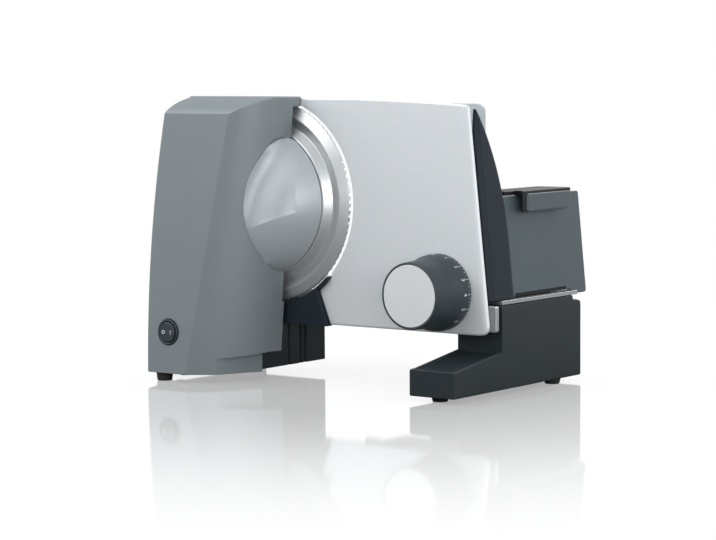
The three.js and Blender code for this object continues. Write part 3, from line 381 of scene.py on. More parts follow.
def shade(obj, smoothDegrees):  # smooth faces, sharp past the angle, large flat faces leading the normals
    obj.data.shade_smooth()
    obj.data.set_sharp_from_angle(angle=math.radians(smoothDegrees))
    lead = obj.modifiers.new("weightedNormals", "WEIGHTED_NORMAL")
    lead.keep_sharp = True


def piece(name, shell, material, body, node=None, smoothDegrees=30):  # node: the solid it stands for
    points, faces = shell
    obj = linkMesh(name, toMetres(points), faces, material)
    shade(obj, smoothDegrees)
    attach(obj, body)
    if node:
        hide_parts(node)
    return obj


def settled(obj):  # the mesh that an object comes to, modifiers and letters worked out
    bpy.context.view_layer.update()
    return bpy.data.meshes.new_from_object(obj.evaluated_get(bpy.context.evaluated_depsgraph_get()))


def carve(obj, tools, smoothDegrees=30):  # cuts closed shells or objects out of a piece and keeps the result
    obj.modifiers.clear()
    helpers = [linkMesh("carveTool", toMetres(tool[0]), tool[1], obj.data.materials[0])
               if isinstance(tool, tuple) else tool for tool in tools]
    for helper in helpers:
        change = obj.modifiers.new("carve", "BOOLEAN")
        change.operation = "DIFFERENCE"
        change.solver = "EXACT"
        change.object = helper
    old, obj.data = obj.data, settled(obj)
    obj.modifiers.clear()
    obj.data.name = obj.name
    bpy.data.meshes.remove(old)
    for helper in helpers:
        bpy.data.objects.remove(helper)
    shade(obj, smoothDegrees)


# Motor housing: outlines from the floor up to a shoulder that draws in to the flat top
housing = {
    "bottom": -141.3, "crease": 73.0, "top": 86.6, "back": 0.5, "wall": 2.5, "rims": (0.6, 0.9),
    "leftFront": ((-75.0, -73.0), (-66.0, -58.0), (-62.0, -30.0)), "leftBow": 5.5,
    "leftBack": ((-104.0, 0.5), (-100.0, 0.5), (-88.0, 0.5)),
    "facet": ((-35.0, -72.0), (3.4, -57.4)), "edge": (25.6, 0.08, -8.0), "bulge": 9.0, "topShare": 0.585,
    "shoulderRound": 0.45, "frontRound": 2.2, "facetRound": 1.6, "edgeRound": 1.3, "backRound": 4.0,
    "roomBack": -12.3, "roomEnd": 0.86, "roomPast": 6.0,
}


def heightShare(z):  # 0 at the bottom, 1 at the crease
    return (z - housing["bottom"]) / (housing["crease"] - housing["bottom"])


def facetPoint(z, s, draw=0.0):
    # From the leaning front line to the edge beside the blade, bowed outwards by a parabola of the share s
    t = heightShare(z)
    (ax, ay), (bx, by) = housing["facet"]
    x0, y0 = ax + t * (bx - ax), ay + t * (by - ay)
    ex, lean, ey = housing["edge"]
    dx, dy = ex + lean * z - x0, ey - y0
    push = (housing["bulge"] * 4 * s * (1 - s) - draw) / np.hypot(dx, dy)
    return np.stack([x0 + s * dx + push * dy, y0 + s * dy - push * dx], -1)


def housingShell(draw, backY, low, high, lastShare=1.0):
    # Each level is an outline: front, bowed facet, edge, back, left side. Above the crease it draws in along a curve
    crease, bend = housing["crease"], housing["shoulderRound"]
    upper = np.linspace(0, 1, 18)[1:]
    drawIn = (1 - bend) * upper + bend * (1 - np.cos(upper * math.pi / 2))
    rise = (1 - bend) * upper + bend * np.sin(upper * math.pi / 2)
    levels = low + (crease - low) * np.linspace(0, 1, 46) ** 0.9
    z = np.concatenate([levels, crease + (high - crease) * rise])
    t = heightShare(np.minimum(z, crease))[:, None]
    k = np.concatenate([np.zeros(len(levels)), drawIn])[:, None]

    def corner(name):
        foot, head, top = (np.array(p) for p in housing[name])
        return (foot + t * (head - foot)) * (1 - k) + top * k

    leftFront = corner("leftFront")
    leftFront[:, :1] -= housing["leftBow"] * 4 * t * (1 - t) * (1 - k)
    leftBack = corner("leftBack")
    along = (backY - leftFront[:, 1:]) / (leftBack[:, 1:] - leftFront[:, 1:])
    leftBack = leftFront + (leftBack - leftFront) * along + (draw, 0)
    leftFront = leftFront + draw
    firstShare = housing["topShare"] * k[:, 0]
    curve = np.stack([facetPoint(z, firstShare + (lastShare - firstShare) * s, draw)
                      for s in np.linspace(0, 1, 26)], 1)
    first, last = curve[:, 0], curve[:, -1]
    endBack = np.stack([last[:, 0], np.full(len(z), backY)], -1)
    outline = np.concatenate([
        softCorner(leftBack, leftFront, first, housing["frontRound"], 7),
        softCorner(leftFront, first, curve[:, 3], housing["facetRound"], 5),
        curve[:, 3:-3],
        softCorner(curve[:, -4], last, endBack, housing["edgeRound"], 5),
        softCorner(last, endBack, leftBack, housing["edgeRound"], 5),
        softCorner(endBack, leftBack, leftFront, housing["backRound"], 7),
    ], 1)
    return np.concatenate([outline, np.broadcast_to(z[:, None, None], outline.shape[:2] + (1,))], -1)


def rim(ring, radius, way):  # rings past an end ring, drawing in along a quarter round
    rings = [layer(ring[:, :2], radius * (1 - math.cos(a)), "z", ring[0, 2] + way * radius * math.sin(a))
             for a in np.radians((30, 60, 90))]
    return np.array(rings[::way])


lowRim, highRim = housing["rims"]
outer = housingShell(0, housing["back"], housing["bottom"] + lowRim, housing["top"] - highRim)
outer = np.concatenate([rim(outer[0], lowRim, -1), outer, rim(outer[-1], highRim, 1)])
housingRoom = loft(housingShell(housing["wall"], housing["roomBack"], housing["bottom"] - housing["roomPast"],
                                housing["top"] - housing["wall"], housing["roomEnd"]))
housingPiece = piece("motorHousing", loft(outer), silverAbs, "frame", "motor_housing", 24)
print("housing drawn")

# Gear head cap: a shallow lens on the slanting face, with one wedge cut flatter than the rest
gearCap = {"radius": 60.6, "rimAngles": (-1.25, 1.1), "rimY": -10.1, "apex": (48.7, -26.4, -6.7), "wall": 2.4,
           "shrink": 0.95, "grow": 0.2 / 46, "wedge": (96.0, 201.0), "cut": 0.42,
           "left": [(51.6, 0.66), (38, 0.5), (25, 0.39), (11, 0.35), (-5, 0.36), (-22, 0.44), (-37, 0.57), (-49, 0.72),
                    (-56, 0.84)]}
ax, _, az = gearCap["apex"]


def capOutline(steps):
    # The arc beside the blade and the line on the bowed facet, as x, y, z at angles about the apex
    arc = around(gearCap["radius"], gearCap["rimY"], np.linspace(*gearCap["rimAngles"], 64))
    high, share = np.array(gearCap["left"], float).T
    line = smoothLine(np.insert(facetPoint(high, share), 2, high, 1), 9)
    edge = np.concatenate([arc, line])
    about = np.arctan2(edge[:, 2] - az, edge[:, 0] - ax)
    return np.stack([np.interp(steps, about, edge[:, i], period=2 * math.pi) for i in range(3)], -1)


wedge = np.radians(gearCap["wedge"])
capEdge = capOutline(np.sort(np.concatenate([allRound(180) + 0.004, wedge])))  # two steps fall on the wedge's lines


def capSurface(shrink, back):
    # A smooth sheet through the outline and the apex: y is a plane plus a weighted sum of the cubes of the distances
    # to those points; inside the wedge y falls back with f1 * f2 / (f1 + f2), the distances from the wedge's lines
    knots = np.concatenate([capOutline(allRound(72)), [gearCap["apex"]]])
    spots = knots[:, [0, 2]] / gearCap["radius"]
    plane = np.insert(spots, 0, 1, 1)
    cubes = np.linalg.norm(spots[:, None] - spots[None], axis=-1) ** 3
    rows = np.block([[cubes, plane], [plane.T, np.zeros((3, 3))]])
    weights = np.linalg.solve(rows, np.append(knots[:, 1], [0, 0, 0]))
    reach = np.concatenate([np.linspace(0.004, 0.8, 30), np.linspace(0.82, 1, 14)])[:, None]
    x = ax + (capEdge[None, :, 0] - ax) * reach * shrink
    z = az + (capEdge[None, :, 2] - az) * reach * shrink
    here = np.stack([x, z], -1) / gearCap["radius"]
    y = np.linalg.norm(here[:, :, None] - spots, axis=-1) ** 3 @ weights[:-3] + weights[-3] + here @ weights[-2:]
    fromFirst = np.maximum((z - az) * math.cos(wedge[0]) - (x - ax) * math.sin(wedge[0]), 0)
    fromSecond = np.maximum((x - ax) * math.sin(wedge[1]) - (z - az) * math.cos(wedge[1]), 0)
    flat = fromFirst * fromSecond / np.maximum(fromFirst + fromSecond, 1e-6)
    y = y + gearCap["cut"] * flat * (1 - reach ** 8) + back
    return np.stack([x, y, z], -1)


capRings = np.concatenate([capSurface(1.0, 0.0), capSurface(gearCap["shrink"], gearCap["wall"])[::-1]])
piece("gearHeadCap", loft(capRings), capAbs, "frame", "gear_head_cap", 12)
capMiddle = np.array((ax, az))
capHole = capMiddle + (capEdge[:, [0, 2]] - capMiddle) * (1 + gearCap["grow"])


def undercut(wall):  # the slanting cut below the bowed facet, back to the base frame's corner
    plan = np.array([(-17.3 - wall, -66, -129), (40, -66, -124), (40, -18.9, -124), (4.3 - wall, -18.9, -124)], float)
    return loft(np.array([plan * (1, 1, 0) + (0, 0, -160), plan + (0, 0, wall)]))


switchSpot = (-53.8, -107.0)
roomTool = linkMesh("housingRoom", toMetres(housingRoom[0]), housingRoom[1], silverAbs)
carve(roomTool, [undercut(housing["wall"])])
roomTool.modifiers.clear()
carve(housingPiece, [
    roomTool,
    turned([(84.6, -9.8), (84.6, 20)], 192, 0, 0),  # round the blade
    turned([(23.8, -20), (23.8, 0)], 48, 0, 0),  # and its hub
    prism(rectangle(-200, 4.3, -200, -86.6), -18.9, 20, "y"),  # over the base frame
    prism(rectangle(4, 200, -200, -60.6), -7.7, 20, "y"),  # beside the guard
    undercut(0),
    prism(rectangle(4, 200, -200, -124), -19.0, -7.4, "y"),  # in front of the leg
    turned([(11.2, -200), (11.2, -55)], 48, *switchSpot),
    prism(capHole, -120, -9.9, "y"),
], 24)
print("cap and housing drawn")

# Blade: a dished disc with two cones and a scalloped edge
bladeSet = {"teeth": 88, "gullet": 0.8, "hollow": 0.25, "teethFrom": 82.5, "teethDeep": 1.3, "frontY": -0.3,
            "profile": [(9, -8.6), (61.2, -8.6), (67, -2.2), (75, -5.6), (82.5, -1.26), (83.8, -0.5), (83.8, -0.05),
                        (82.5, -0.1), (66, -0.7), (60.2, -7.2), (9, -7.2)],
            "round": [0.3, 0.9, 0.8, 0.9, 0.1, 0.1, 0.05, 0.1, 0.5, 0.9, 0.3]}


def bladeShell():
    # A closed profile turned about y; near the edge the wave |sin(teeth / 2 * angle)| draws it in
    profile = roundCorners(bladeSet["profile"], bladeSet["round"], 5)
    angle = allRound(bladeSet["teeth"] * 8)
    wave = np.abs(np.sin(bladeSet["teeth"] / 2 * angle))
    near = np.clip((profile[:, :1] - bladeSet["teethFrom"]) / bladeSet["teethDeep"], 0, 1)
    radius = profile[:, :1] - bladeSet["gullet"] * wave * near ** 2
    front = profile[:, 1:] < bladeSet["frontY"]
    y = profile[:, 1:] + np.where(front, bladeSet["hollow"] * wave * near, 0)
    return loft(around(radius, y, angle), True)


piece("blade", bladeShell(), bladeSteel, "cutter", "blade")
print("blade drawn")

# Stop plate: rows from the bottom up, each a flat strip whose right end rolls back
plateSet = {"front": 1.0, "back": 4.0, "bottom": -100.6, "top": 85.2, "topFall": 5.0, "fall": (72.0, 127.6, 1.6),
            "left": 33.5, "arc": (-2.7, -1.6, 88.5), "near": 84.7, "guardTop": (-62.0, -57.0), "toe": (61.0, 50.0),
            "end": (217.0, 198.0), "roll": 6.0, "tip": 0.4, "corners": (8.0, 3.0), "edge": 0.7}
plateLow, plateTop = plateSet["bottom"], plateSet["top"]


def plateLeft(z):
    cx, cz, radius = plateSet["arc"]
    wideX = cx + np.sqrt(np.maximum(radius ** 2 - (z - cz) ** 2, 0))
    nearX = np.sqrt(np.maximum(plateSet["near"] ** 2 - z ** 2, 0))
    past = np.interp(z, plateSet["guardTop"], (0, 1))  # above the guard's horn the edge follows the blade closely
    arcX = wideX + (nearX - wideX) * past * past * (3 - 2 * past)
    lowX, highX = plateSet["toe"]
    toeTop = cz - math.sqrt(radius ** 2 - (highX - cx) ** 2)
    toe = lowX + (z - plateLow) / (toeTop - plateLow) * (highX - lowX)
    return np.where(z < toeTop, toe, np.maximum(arcX, plateSet["left"]))


def plateRight(z):
    lowX, highX = plateSet["end"]
    lowCorner, highCorner = plateSet["corners"]
    share = (z - plateLow) / (plateTop - plateSet["topFall"] - plateLow)
    low = np.clip(1 - (z - plateLow) / lowCorner, 0, 1)
    high = np.clip(1 - (plateTop - z) / highCorner, 0, 1)
    return (lowX + share * (highX - lowX) - lowCorner * (1 - np.sqrt(1 - low ** 2))
            - highCorner * (1 - np.sqrt(1 - high ** 2)))


def plateShell():
    # Across: x runs from the left to the right line of its row; the front's y falls back over the last few mm
    front, back, edge, roll, tip = (plateSet[k] for k in ("front", "back", "edge", "roll", "tip"))
    z = np.concatenate([plateLow + np.linspace(0, 9, 14), np.linspace(plateLow + 10, plateTop - 8, 74),
                        plateTop - np.linspace(7, 0, 12)])
    rows = len(z)
    left, right = plateLeft(z)[:, None], plateRight(z)[:, None]
    bend = np.linspace(0, 1, 16)[None] * math.pi / 2
    flat = np.linspace(0, 1, 24)[None, :-1]
    leftRound = np.linspace(1, 0, 5)[None, :-1]
    x = np.concatenate([left + edge * (1 - np.sqrt(1 - leftRound ** 2)),
                        left + edge + (right - roll - left - edge) * flat, right - roll + roll * np.sin(bend),
                        right - tip, right - roll, left + edge], 1)
    y = np.concatenate([front + edge * leftRound, np.full((1, 23), front),
                        front + (back - front - tip) * (1 - np.cos(bend)), np.full((1, 3), back)], 1)
    fallFrom, fallOver, power = plateSet["fall"]
    drop = plateSet["topFall"] * np.clip((x - fallFrom) / fallOver, 0, 1) ** power
    high = np.clip((z[:, None] - plateLow) / (plateTop - plateLow), 0, 1)
    sections = np.stack([x, np.repeat(y, rows, 0), z[:, None] - drop * high], -1)
    middle = (front + back) / 2
    for row, share in ((0, 0.45), (1, 0.8), (-2, 0.8), (-1, 0.45)):  # the cut edges above and below are broken
        sections[row, :, 1] = middle + (sections[row, :, 1] - middle) * share
    return loft(sections)


stopPlate = piece("stopPlate", plateShell(), plateAluminium, "stop", "stop_plate")
knobX, knobZ = knobSpot
followerHole = turned([(3.1, -20), (3.1, 20)], 32, knobX, -87.5)
carve(stopPlate, [followerHole])
index = block((knobX - 0.4, knobX + 0.4), (0.93, 1.3), (-35.2, -29.5), 0.05, 0.05, "y")
piece("dialIndex", index, printInk, "stop")
print("plate drawn")

# Knob: a skirt that carries the dial, a waist, and a round grip with a spun disc let into its face
knobSet = {"digits": 16, "digitMm": 3.6, "digitsAt": -8.4, "letterTall": 0.69, "proud": 0.04,
           "ticks": [(0.55, -3.2, 0), (0.4, -1.5, 0.25), (0.4, -2.2, 0.5), (0.4, -1.5, 0.75)],  # width, end, place
           "outside": [(30.8, 0.5), (30.8, -1.5), (30.7, -5), (30.2, -9), (29.2, -13), (28.2, -17), (27.4, -22),
                       (27.0, -28), (26.8, -33), (26.6, -36.6)],
           "grip": [(26.0, -37.0), (26.0, -37.5), (26.5, -37.9), (26.5, -39.6), (26.2, -40.2), (25.6, -40.5),
                    (24.95, -40.4), (24.85, -40.1), (24.85, -38.7)],
           "inside": [(5.3, -38.7), (5.3, 0.5), (16.0, 0.5), (16.0, -35.9), (23.9, -35.9), (24.4, -30.5), (26.0, -13.0),
                      (28.2, 0.5)],
           "disc": [(0.01, -39.0), (24.6, -39.0), (24.6, -40.0), (24.4, -40.3), (24.0, -40.45), (0.01, -40.5)],
           "groove": (13.0, 16.6, 2.5), "lead": 25.6, "sweep": 5.8905, "run": 0.16, "pin": -28.0}
skirt = smoothLine(knobSet["outside"], 5)
knobProfile = np.concatenate([skirt, knobSet["grip"], knobSet["inside"]])
knobPiece = piece("knob", turned(knobProfile, 120, knobX, knobZ, True), knobAbs, "dial", "knob")


def camGroove():
    # A square section wound round the knob's drum: from straight below, y grows by one lead in a turn
    turnBy = np.linspace(-knobSet["run"], knobSet["sweep"] + knobSet["run"], 96)[:, None]
    deep, past, half = knobSet["groove"]
    radius = np.array([[deep, deep, past, past]])
    y = knobSet["pin"] + knobSet["lead"] * turnBy / (2 * math.pi) + np.array([[-half, half, half, -half]])
    return loft(np.stack([knobX - radius * np.sin(turnBy), y, knobZ - radius * np.cos(turnBy)], -1))


carve(knobPiece, [camGroove()])
piece("knobDisc", turned(knobSet["disc"], 120, knobX, knobZ), discAluminium, "dial", "knob_disc")
rising = skirt[np.argsort(skirt[:, 1])]


def onSkirt(u, along, turnAngle):
    # A flat mark wrapped round the skirt, a hair proud: u is the arc length, along is y, turnAngle is from the top
    radius = np.interp(along, rising[:, 1], rising[:, 0]) + knobSet["proud"]
    angle = math.pi / 2 - turnAngle - u / radius
    return around(radius, along, angle) + (knobX, 0, knobZ)


def strip(width, y0, y1, turnAngle):  # a tick: a short grid of quads on the skirt
    u, along = np.meshgrid([-width / 2, width / 2], np.linspace(y0, y1, 4))
    return onSkirt(u.ravel(), along.ravel(), turnAngle), gridFaces(4, 2, False, False)


marks = []
share = 2 * math.pi / knobSet["digits"]
for step in range(knobSet["digits"]):
    at = share * step
    marks += [strip(wide, -0.4, end, at + part * share) for wide, end, part in knobSet["ticks"]]
    letters = bpy.data.curves.new("dialNumber", "FONT")
    letters.body = str(step)
    letters.size = 1.0
    letters.resolution_u = 2
    sign = bpy.data.objects.new("dialNumber", letters)
    bpy.context.scene.collection.objects.link(sign)
    flat = settled(sign)
    spots = np.empty(len(flat.vertices) * 3)
    flat.vertices.foreach_get("co", spots)
    u, v = spots.reshape(-1, 3).T[:2] * knobSet["digitMm"] / knobSet["letterTall"]
    number = [list(p.vertices) for p in flat.polygons]
    marks.append((onSkirt(u - (u.min() + u.max()) / 2, knobSet["digitsAt"] + v, at), number))
    bpy.data.objects.remove(sign)
    bpy.data.curves.remove(letters)
    bpy.data.meshes.remove(flat)
piece("dialMarks", together(*marks), printInk, "dial")
print("knob drawn")

# Switch: a round frame in the front face, a rocker with two slopes and its on and off signs
switchSet = {"bezel": [(8.9, -70.4), (8.9, -71.3), (9.7, -71.7), (10.6, -71.3), (10.9, -59.8), (9.35, -59.8)],
             "bezelRound": [0.3, 0.4, 0.4, 0.5, 0.2, 0.2], "radius": 8.3, "face": -71.7, "slope": 0.11, "bow": 0.0036,
             "lip": (7.8, 0.5), "back": -67.0, "drawIn": 0.84, "proud": 0.05}
sx, sz = switchSpot
bezel = roundCorners(switchSet["bezel"], switchSet["bezelRound"], 4)
piece("switchBezel", turned(bezel, 64, sx, sz, True), knobAbs, "frame", "switch_bezel", 32)


def rockerShell():
    # A round face of rings; its y rises from a shallow V across x, so that one half stands out and one lies in.
    # Behind it draws in, so that it clears the bezel when it is rocked
    radius = np.concatenate([np.linspace(0.02, 0.9, 14), [0.95, 0.985, 1.0]])[:, None] * switchSet["radius"]
    angle = allRound(72)[None]
    x, z = radius * np.cos(angle), radius * np.sin(angle)
    lipFrom, lipDeep = switchSet["lip"]
    lip = np.clip((radius - lipFrom) / lipDeep, 0, 1) ** 2 * lipDeep
    y = switchSet["face"] - np.abs(x) * switchSet["slope"] + switchSet["bow"] * z ** 2 + lip
    face = np.stack([x, y, z], -1)
    deep = face[-1:] * switchSet["drawIn"]
    deep[..., 1] = switchSet["back"]
    return loft(np.concatenate([face, deep]) + (sx, 0, sz))


piece("switchRocker", rockerShell(), switchNylon, "rocker", "switch_rocker", 40)


def rockerSign(x, z, faces):  # a mark on the rocker's face, a hair proud
    y = switchSet["face"] - switchSet["proud"] - np.abs(x) * switchSet["slope"]
    return np.stack([sx + x, y, sz + z], -1).reshape(-1, 3), faces


radius, angle = np.array([[1.55], [1.0]]), allRound(28)
offSign = rockerSign(-3.9 + radius * np.cos(angle), radius * np.sin(angle), gridFaces(2, 28))
bar = np.meshgrid(np.linspace(3.6, 4.2, 3), np.linspace(-1.7, 1.7, 3))
onSign = rockerSign(*bar, gridFaces(3, 3, False, False))
piece("switchSigns", together(offSign, onSign), printInk, "rocker")
print("switch drawn")

# Base frame: block behind the housing, deck under the bridge, ribbed right face and the guard below the blade
baseSet = {"left": -96.0, "right": 4.0, "front": -18.6, "back": 66.7, "top": -87.6, "bottom": -139.3,
           "grooves": [(17.0, 3.0), (32.7, 2.6), (38.5, 4.5)], "deep": 1.2,
           "room": (-93.5, 1.3, -16.1, 64.2), "roomTop": -90.1, "motor": (-27.0, -30.0, 18.0),
           "deckFront": 13.5, "deck": (-90.0, -77.0), "blade": 85.6, "guardAngles": (-87.0, -45.2),
           "horn": (-2.7, -1.6, 87.9), "hornAngles": (-53.6, -44.0), "guardFoot": [(2.0, -101.6), (60.2, -101.6)]}


def arc(u, v, radius, first, last, count):  # points on an arc, its angles in degrees
    angle = np.radians(np.linspace(first, last, count))
    return np.stack([u + radius * np.cos(angle), v + radius * np.sin(angle)], 1)


def ribbedFace():
    # The right face's outline seen from above: upright grooves between plain panels, carried from the bottom up
    left, right, front, back = (baseSet[k] for k in ("left", "right", "front", "back"))
    outline = [(left, front), (right, front)]
    deep = right - baseSet["deep"]
    for middle, wide in baseSet["grooves"]:
        low, high = middle - wide / 2, middle + wide / 2
        outline += [(right, low - 0.4), (deep, low), (deep, high), (right, high + 0.4)]
    return outline + [(right, back), (left, back)]


baseOutline = roundCorners(ribbedFace(), 0.3, 3)
basePiece = piece("baseFrame", slab(baseOutline, baseSet["bottom"], baseSet["top"], 0.15, "z"), darkAbs, "frame",
                  "base_frame", 28)
carve(basePiece, [
    prism(rectangle(*baseSet["room"]), -150, baseSet["roomTop"], "z"),
    turned([(baseSet["blade"], -20), (baseSet["blade"], 20)], 160, 0, 0),
    prism(arc(*baseSet["motor"], 0, 352.5, 48), -200, 0, "z"),
], 28)
deckOutline = roundCorners(rectangle(baseSet["left"], baseSet["right"], baseSet["deckFront"], baseSet["back"]), 0.8, 4)
piece("deck", slab(deckOutline, *baseSet["deck"], 0.5, "z"), darkAbs, "frame", None, 28)
guardOutline = np.concatenate([baseSet["guardFoot"], arc(*baseSet["horn"], *baseSet["hornAngles"], 10),
                               arc(0, 0, baseSet["blade"], *baseSet["guardAngles"], 30)[:0:-1]])
piece("bladeGuard", slab(guardOutline, -4.0, 4.0, 0.5, "y"), blueBlackAbsAndPaintedShade, "frame", None, 28)
print("base drawn")

# Bridge rail: an extruded strip with two flanges below and fine grooves along its top
railSet = {"front": 13.5, "back": 125.0, "top": -73.5, "sheet": 3.2, "flangeWide": 3.0, "grooves": 9,
           "grooveDeep": 0.35,  # parts: flange, x from and to, edge
           "parts": [(0, -96.0, 5.2, 0.3), (4.5, 5.0, 179.0, 0.2), (0, 178.8, 221.5, 0.3)]}


def railOutline(flange):
    # The strip's end outline: top with even grooves, then the underside with or without its two flanges
    front, back, top, wide = (railSet[k] for k in ("front", "back", "top", "flangeWide"))
    low, deep = top - railSet["sheet"], top - railSet["grooveDeep"]
    line = [(front, low - flange), (front, top)]
    for y in np.linspace(front + 10, back - 10, railSet["grooves"]):
        line += [(y - 0.9, top), (y - 0.5, deep), (y + 0.5, deep), (y + 0.9, top)]
    line += [(back, top), (back, low - flange)]
    if flange:
        line += [(back - wide, low - flange), (back - wide, low), (front + wide, low), (front + wide, low - flange)]
    return roundCorners(line, 0.3, 3)


railParts = [slab(railOutline(flange), x0, x1, edge, "x") for flange, x0, x1, edge in railSet["parts"]]
piece("bridgeRail", together(*railParts), railAluminium, "frame", "bridge_rail", 28)
print("rail drawn")

# Right foot: a section carried from the toe back; the toe's top is a shallow dish between two raised edges
footSet = {"in": 180.0, "out": 222.0, "bottom": -143.8, "toe": -55.0, "toeTop": -124.6, "heelLow": -113.5, "heel": 12.0,
           "top": -77.0, "notch": 117.0, "notchTop": -81.0, "back": 129.0, "edge": 2.2, "dish": 1.8, "toeRise": 3.0,
           "room": [(-52.3, -150), (126.3, -150), (124.4, -86), (114, -86), (114, -79.6), (14.6, -79.6), (14.6, -118),
                    (-52.3, -129)], "roomSpan": (182.5, 219.5)}


def footSection(y, top, dish=0.0, draw=0.0, rise=0.0):
    # Points round the section at one y: bottom, outer side, top with its dish, inner side; the upper ones are lifted
    # by rise along a parabola across the toe
    x0, x1, low = footSet["in"] + draw, footSet["out"] - draw, footSet["bottom"] + draw * 0.6
    rim, top = footSet["edge"], top - draw * 0.8
    line = [(x0 + 0.8, low), (x1 - 0.8, low), (x1, low + 0.8), (x1, top - 1.5), (x1 - 0.45, top - 0.45),
            (x1 - 1.5, top), (x1 - rim, top), (x1 - rim - 0.6, top - dish * 0.6), (x1 - rim - 1.6, top - dish),
            (x0 + rim + 1.6, top - dish), (x0 + rim + 0.6, top - dish * 0.6), (x0 + rim, top), (x0 + 0.8, top),
            (x0 + 0.25, top - 0.2), (x0, top - 0.7), (x0, low + 0.8)]
    x, z = np.array(line).T
    across = (x - footSet["in"]) / (footSet["out"] - footSet["in"])
    lift = np.where(z > footSet["bottom"] + 6, rise * (0.45 + 0.55 * 4 * across * (1 - across)), 0)
    return np.stack([x, np.full(len(x), y), z + lift], 1)


def slope(y):
    share = (y - footSet["toe"]) / (footSet["heel"] - footSet["toe"])
    return footSet["toeTop"] + share * (footSet["heelLow"] - footSet["toeTop"])


toe, heel, top, dish, notch, notchTop, rise = (
    footSet[k] for k in ("toe", "heel", "top", "dish", "notch", "notchTop", "toeRise"))
footRows = [  # y, top, then the dish, how far the section draws in and how far it is lifted
    (toe, slope(toe), 0, 1.0, rise), (toe + 0.3, slope(toe), 0, 0.35, rise), (toe + 1.0, slope(toe), 0, 0, rise),
    (toe + 2.6, slope(toe + 2.6), 0, 0, rise), (toe + 3.4, slope(toe + 3.4), dish * 0.7, 0, 0.8 * rise),
    *[(y, slope(y), dish, 0, 2.0 * (heel - y) / (heel - toe)) for y in np.linspace(toe + 4.6, heel - 0.05, 16)],
    (heel, top - 2.0), (heel + 0.4, top - 0.4), (heel + 1.2, top),
    *[(y, top) for y in np.linspace(heel + 4, notch, 8)],
    (notch + 0.05, notchTop), (125.0, notchTop), (128.6, -82.0), (footSet["back"], -84.0, 0.3),
]
footRings = np.array([footSection(*row) for row in footRows])
footPiece = piece("rightFoot", loft(footRings), darkAbs, "frame", "right_foot", 26)
carve(footPiece, [prism(footSet["room"], *footSet["roomSpan"], "x")], 26)


def padShell(node):  # a rubber foot: a turned profile with a rounded sole and a shallow recess under it
    low, high = (np.array(v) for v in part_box(node))
    wide, _, tall = (high - low) * 1000
    profile = np.array([(0.02, 0.7), (0.55, 0.7), (0.62, 0.0), (0.78, 0.0), (0.86, 0.35), (0.9, 1.2), (1.0, tall),
                        (0.02, tall)])  # share of the radius, height
    rings = around(profile[:, :1] * wide / 2, profile[:, 1:], allRound(48))[..., [0, 2, 1]]
    sole = np.append(((low + high) / 2)[:2], low[2])
    return loft(rings + (sole - bladeAxis) * 1000)


for corner in ("front_left", "rear_left", "toe", "rear_right"):
    node = "rubber_foot_" + corner
    piece("foot_" + corner, padShell(node), rubber, "frame", node, 32)
print("feet drawn")

# Carriage: a leaning wall with a long notch in its foot, lined with a black strip that is painted shade for the shadow
# gap under the wall, a floor plate and a low lip at the back
traySet = {"wallAtTop": 206.5, "lean": 0.0985, "wall": 4.0, "skin": 1.5, "front": 8.0, "back": 150.0, "top": 7.0,
           "low": -73.0, "heel": (126.5, -77.0), "heelRound": [0.5, 1.3, 3.0, 2.5, 1.3], "notch": (43.0, 119.5, -70.3),
           "floor": ((95.0, 210.2), (8.0, 120.0), (-71.5, -67.0)),
           "lip": ((95.0, 208.6), (116.0, 120.0), (-68.0, -57.0))}


def onWall(y, z, out):  # a point on the leaning wall's outer plane, moved out of it along x
    return np.stack([traySet["wallAtTop"] - traySet["lean"] * (z - traySet["top"]) + out, y, z], -1)


def wallSheet(outline, inner, outer, edge):  # an outline of y and z carried through the leaning plane, with soft ends
    rings = [onWall(*inset(np.asarray(outline, float), d).T, out) for d, out in softEnds(inner, outer, edge)]
    return loft(np.array(rings))


front, back, low, skin = (traySet[k] for k in ("front", "back", "low", "skin"))
heelY, heelZ = traySet["heel"]
y0, y1, notchTop = traySet["notch"]
wallEnd = [(heelY, low), (heelY, heelZ), (back, heelZ), (back, traySet["top"]), (front, traySet["top"])]
inner = roundCorners([(front, low)] + wallEnd, [1.3] + traySet["heelRound"], 6)
outer = roundCorners([(front, low), (y0, low), (y0, notchTop), (y1, notchTop), (y1, low)] + wallEnd,
                     [1.3, 1.3, 0.6, 0.6, 1.3] + traySet["heelRound"], 6)
wallParts = [wallSheet(inner, -traySet["wall"], -skin, 0.6), wallSheet(outer, -skin, 0.0, 0.7)]
piece("carriageWall", together(*wallParts), slateAbs, "carriage", "carriage_tray")
# A thin black strip set in the notch: painted shade, standing for the dark shadow gap between the wall's foot and the
# rail
notchPaintedShade = wallSheet(rectangle(y0 + 0.1, y1 - 0.1, low + 0.1, notchTop - 0.1), -1.45, -1.1, 0.05)
piece("notchStrip", notchPaintedShade, blackNylon, "carriage")
piece("carriageFloor", block(*traySet["floor"], 0.6, 2.0, "z"), slateAbs, "carriage")
piece("carriageLip", block(*traySet["lip"], 0.8, 1.6, "y"), slateAbs, "carriage")
print("carriage drawn")

# Thumb guard: a tall curved leaf on the wall's front, its leading edge turned in; its blue-black colour is painted
# shade, far darker than the wall it lies along
leafSet = {"front": 5.2, "width": 33.6, "low": -73.0, "straight": -39.0, "top": 77.0, "curve": 2.3, "tip": 0.04,
           "turnIn": 3.2, "turnWide": 3.4, "fullAt": 12.0, "outer": 2.75, "inner": 0.4, "least": 0.6,
           "backRound": (1.8, 1.5)}


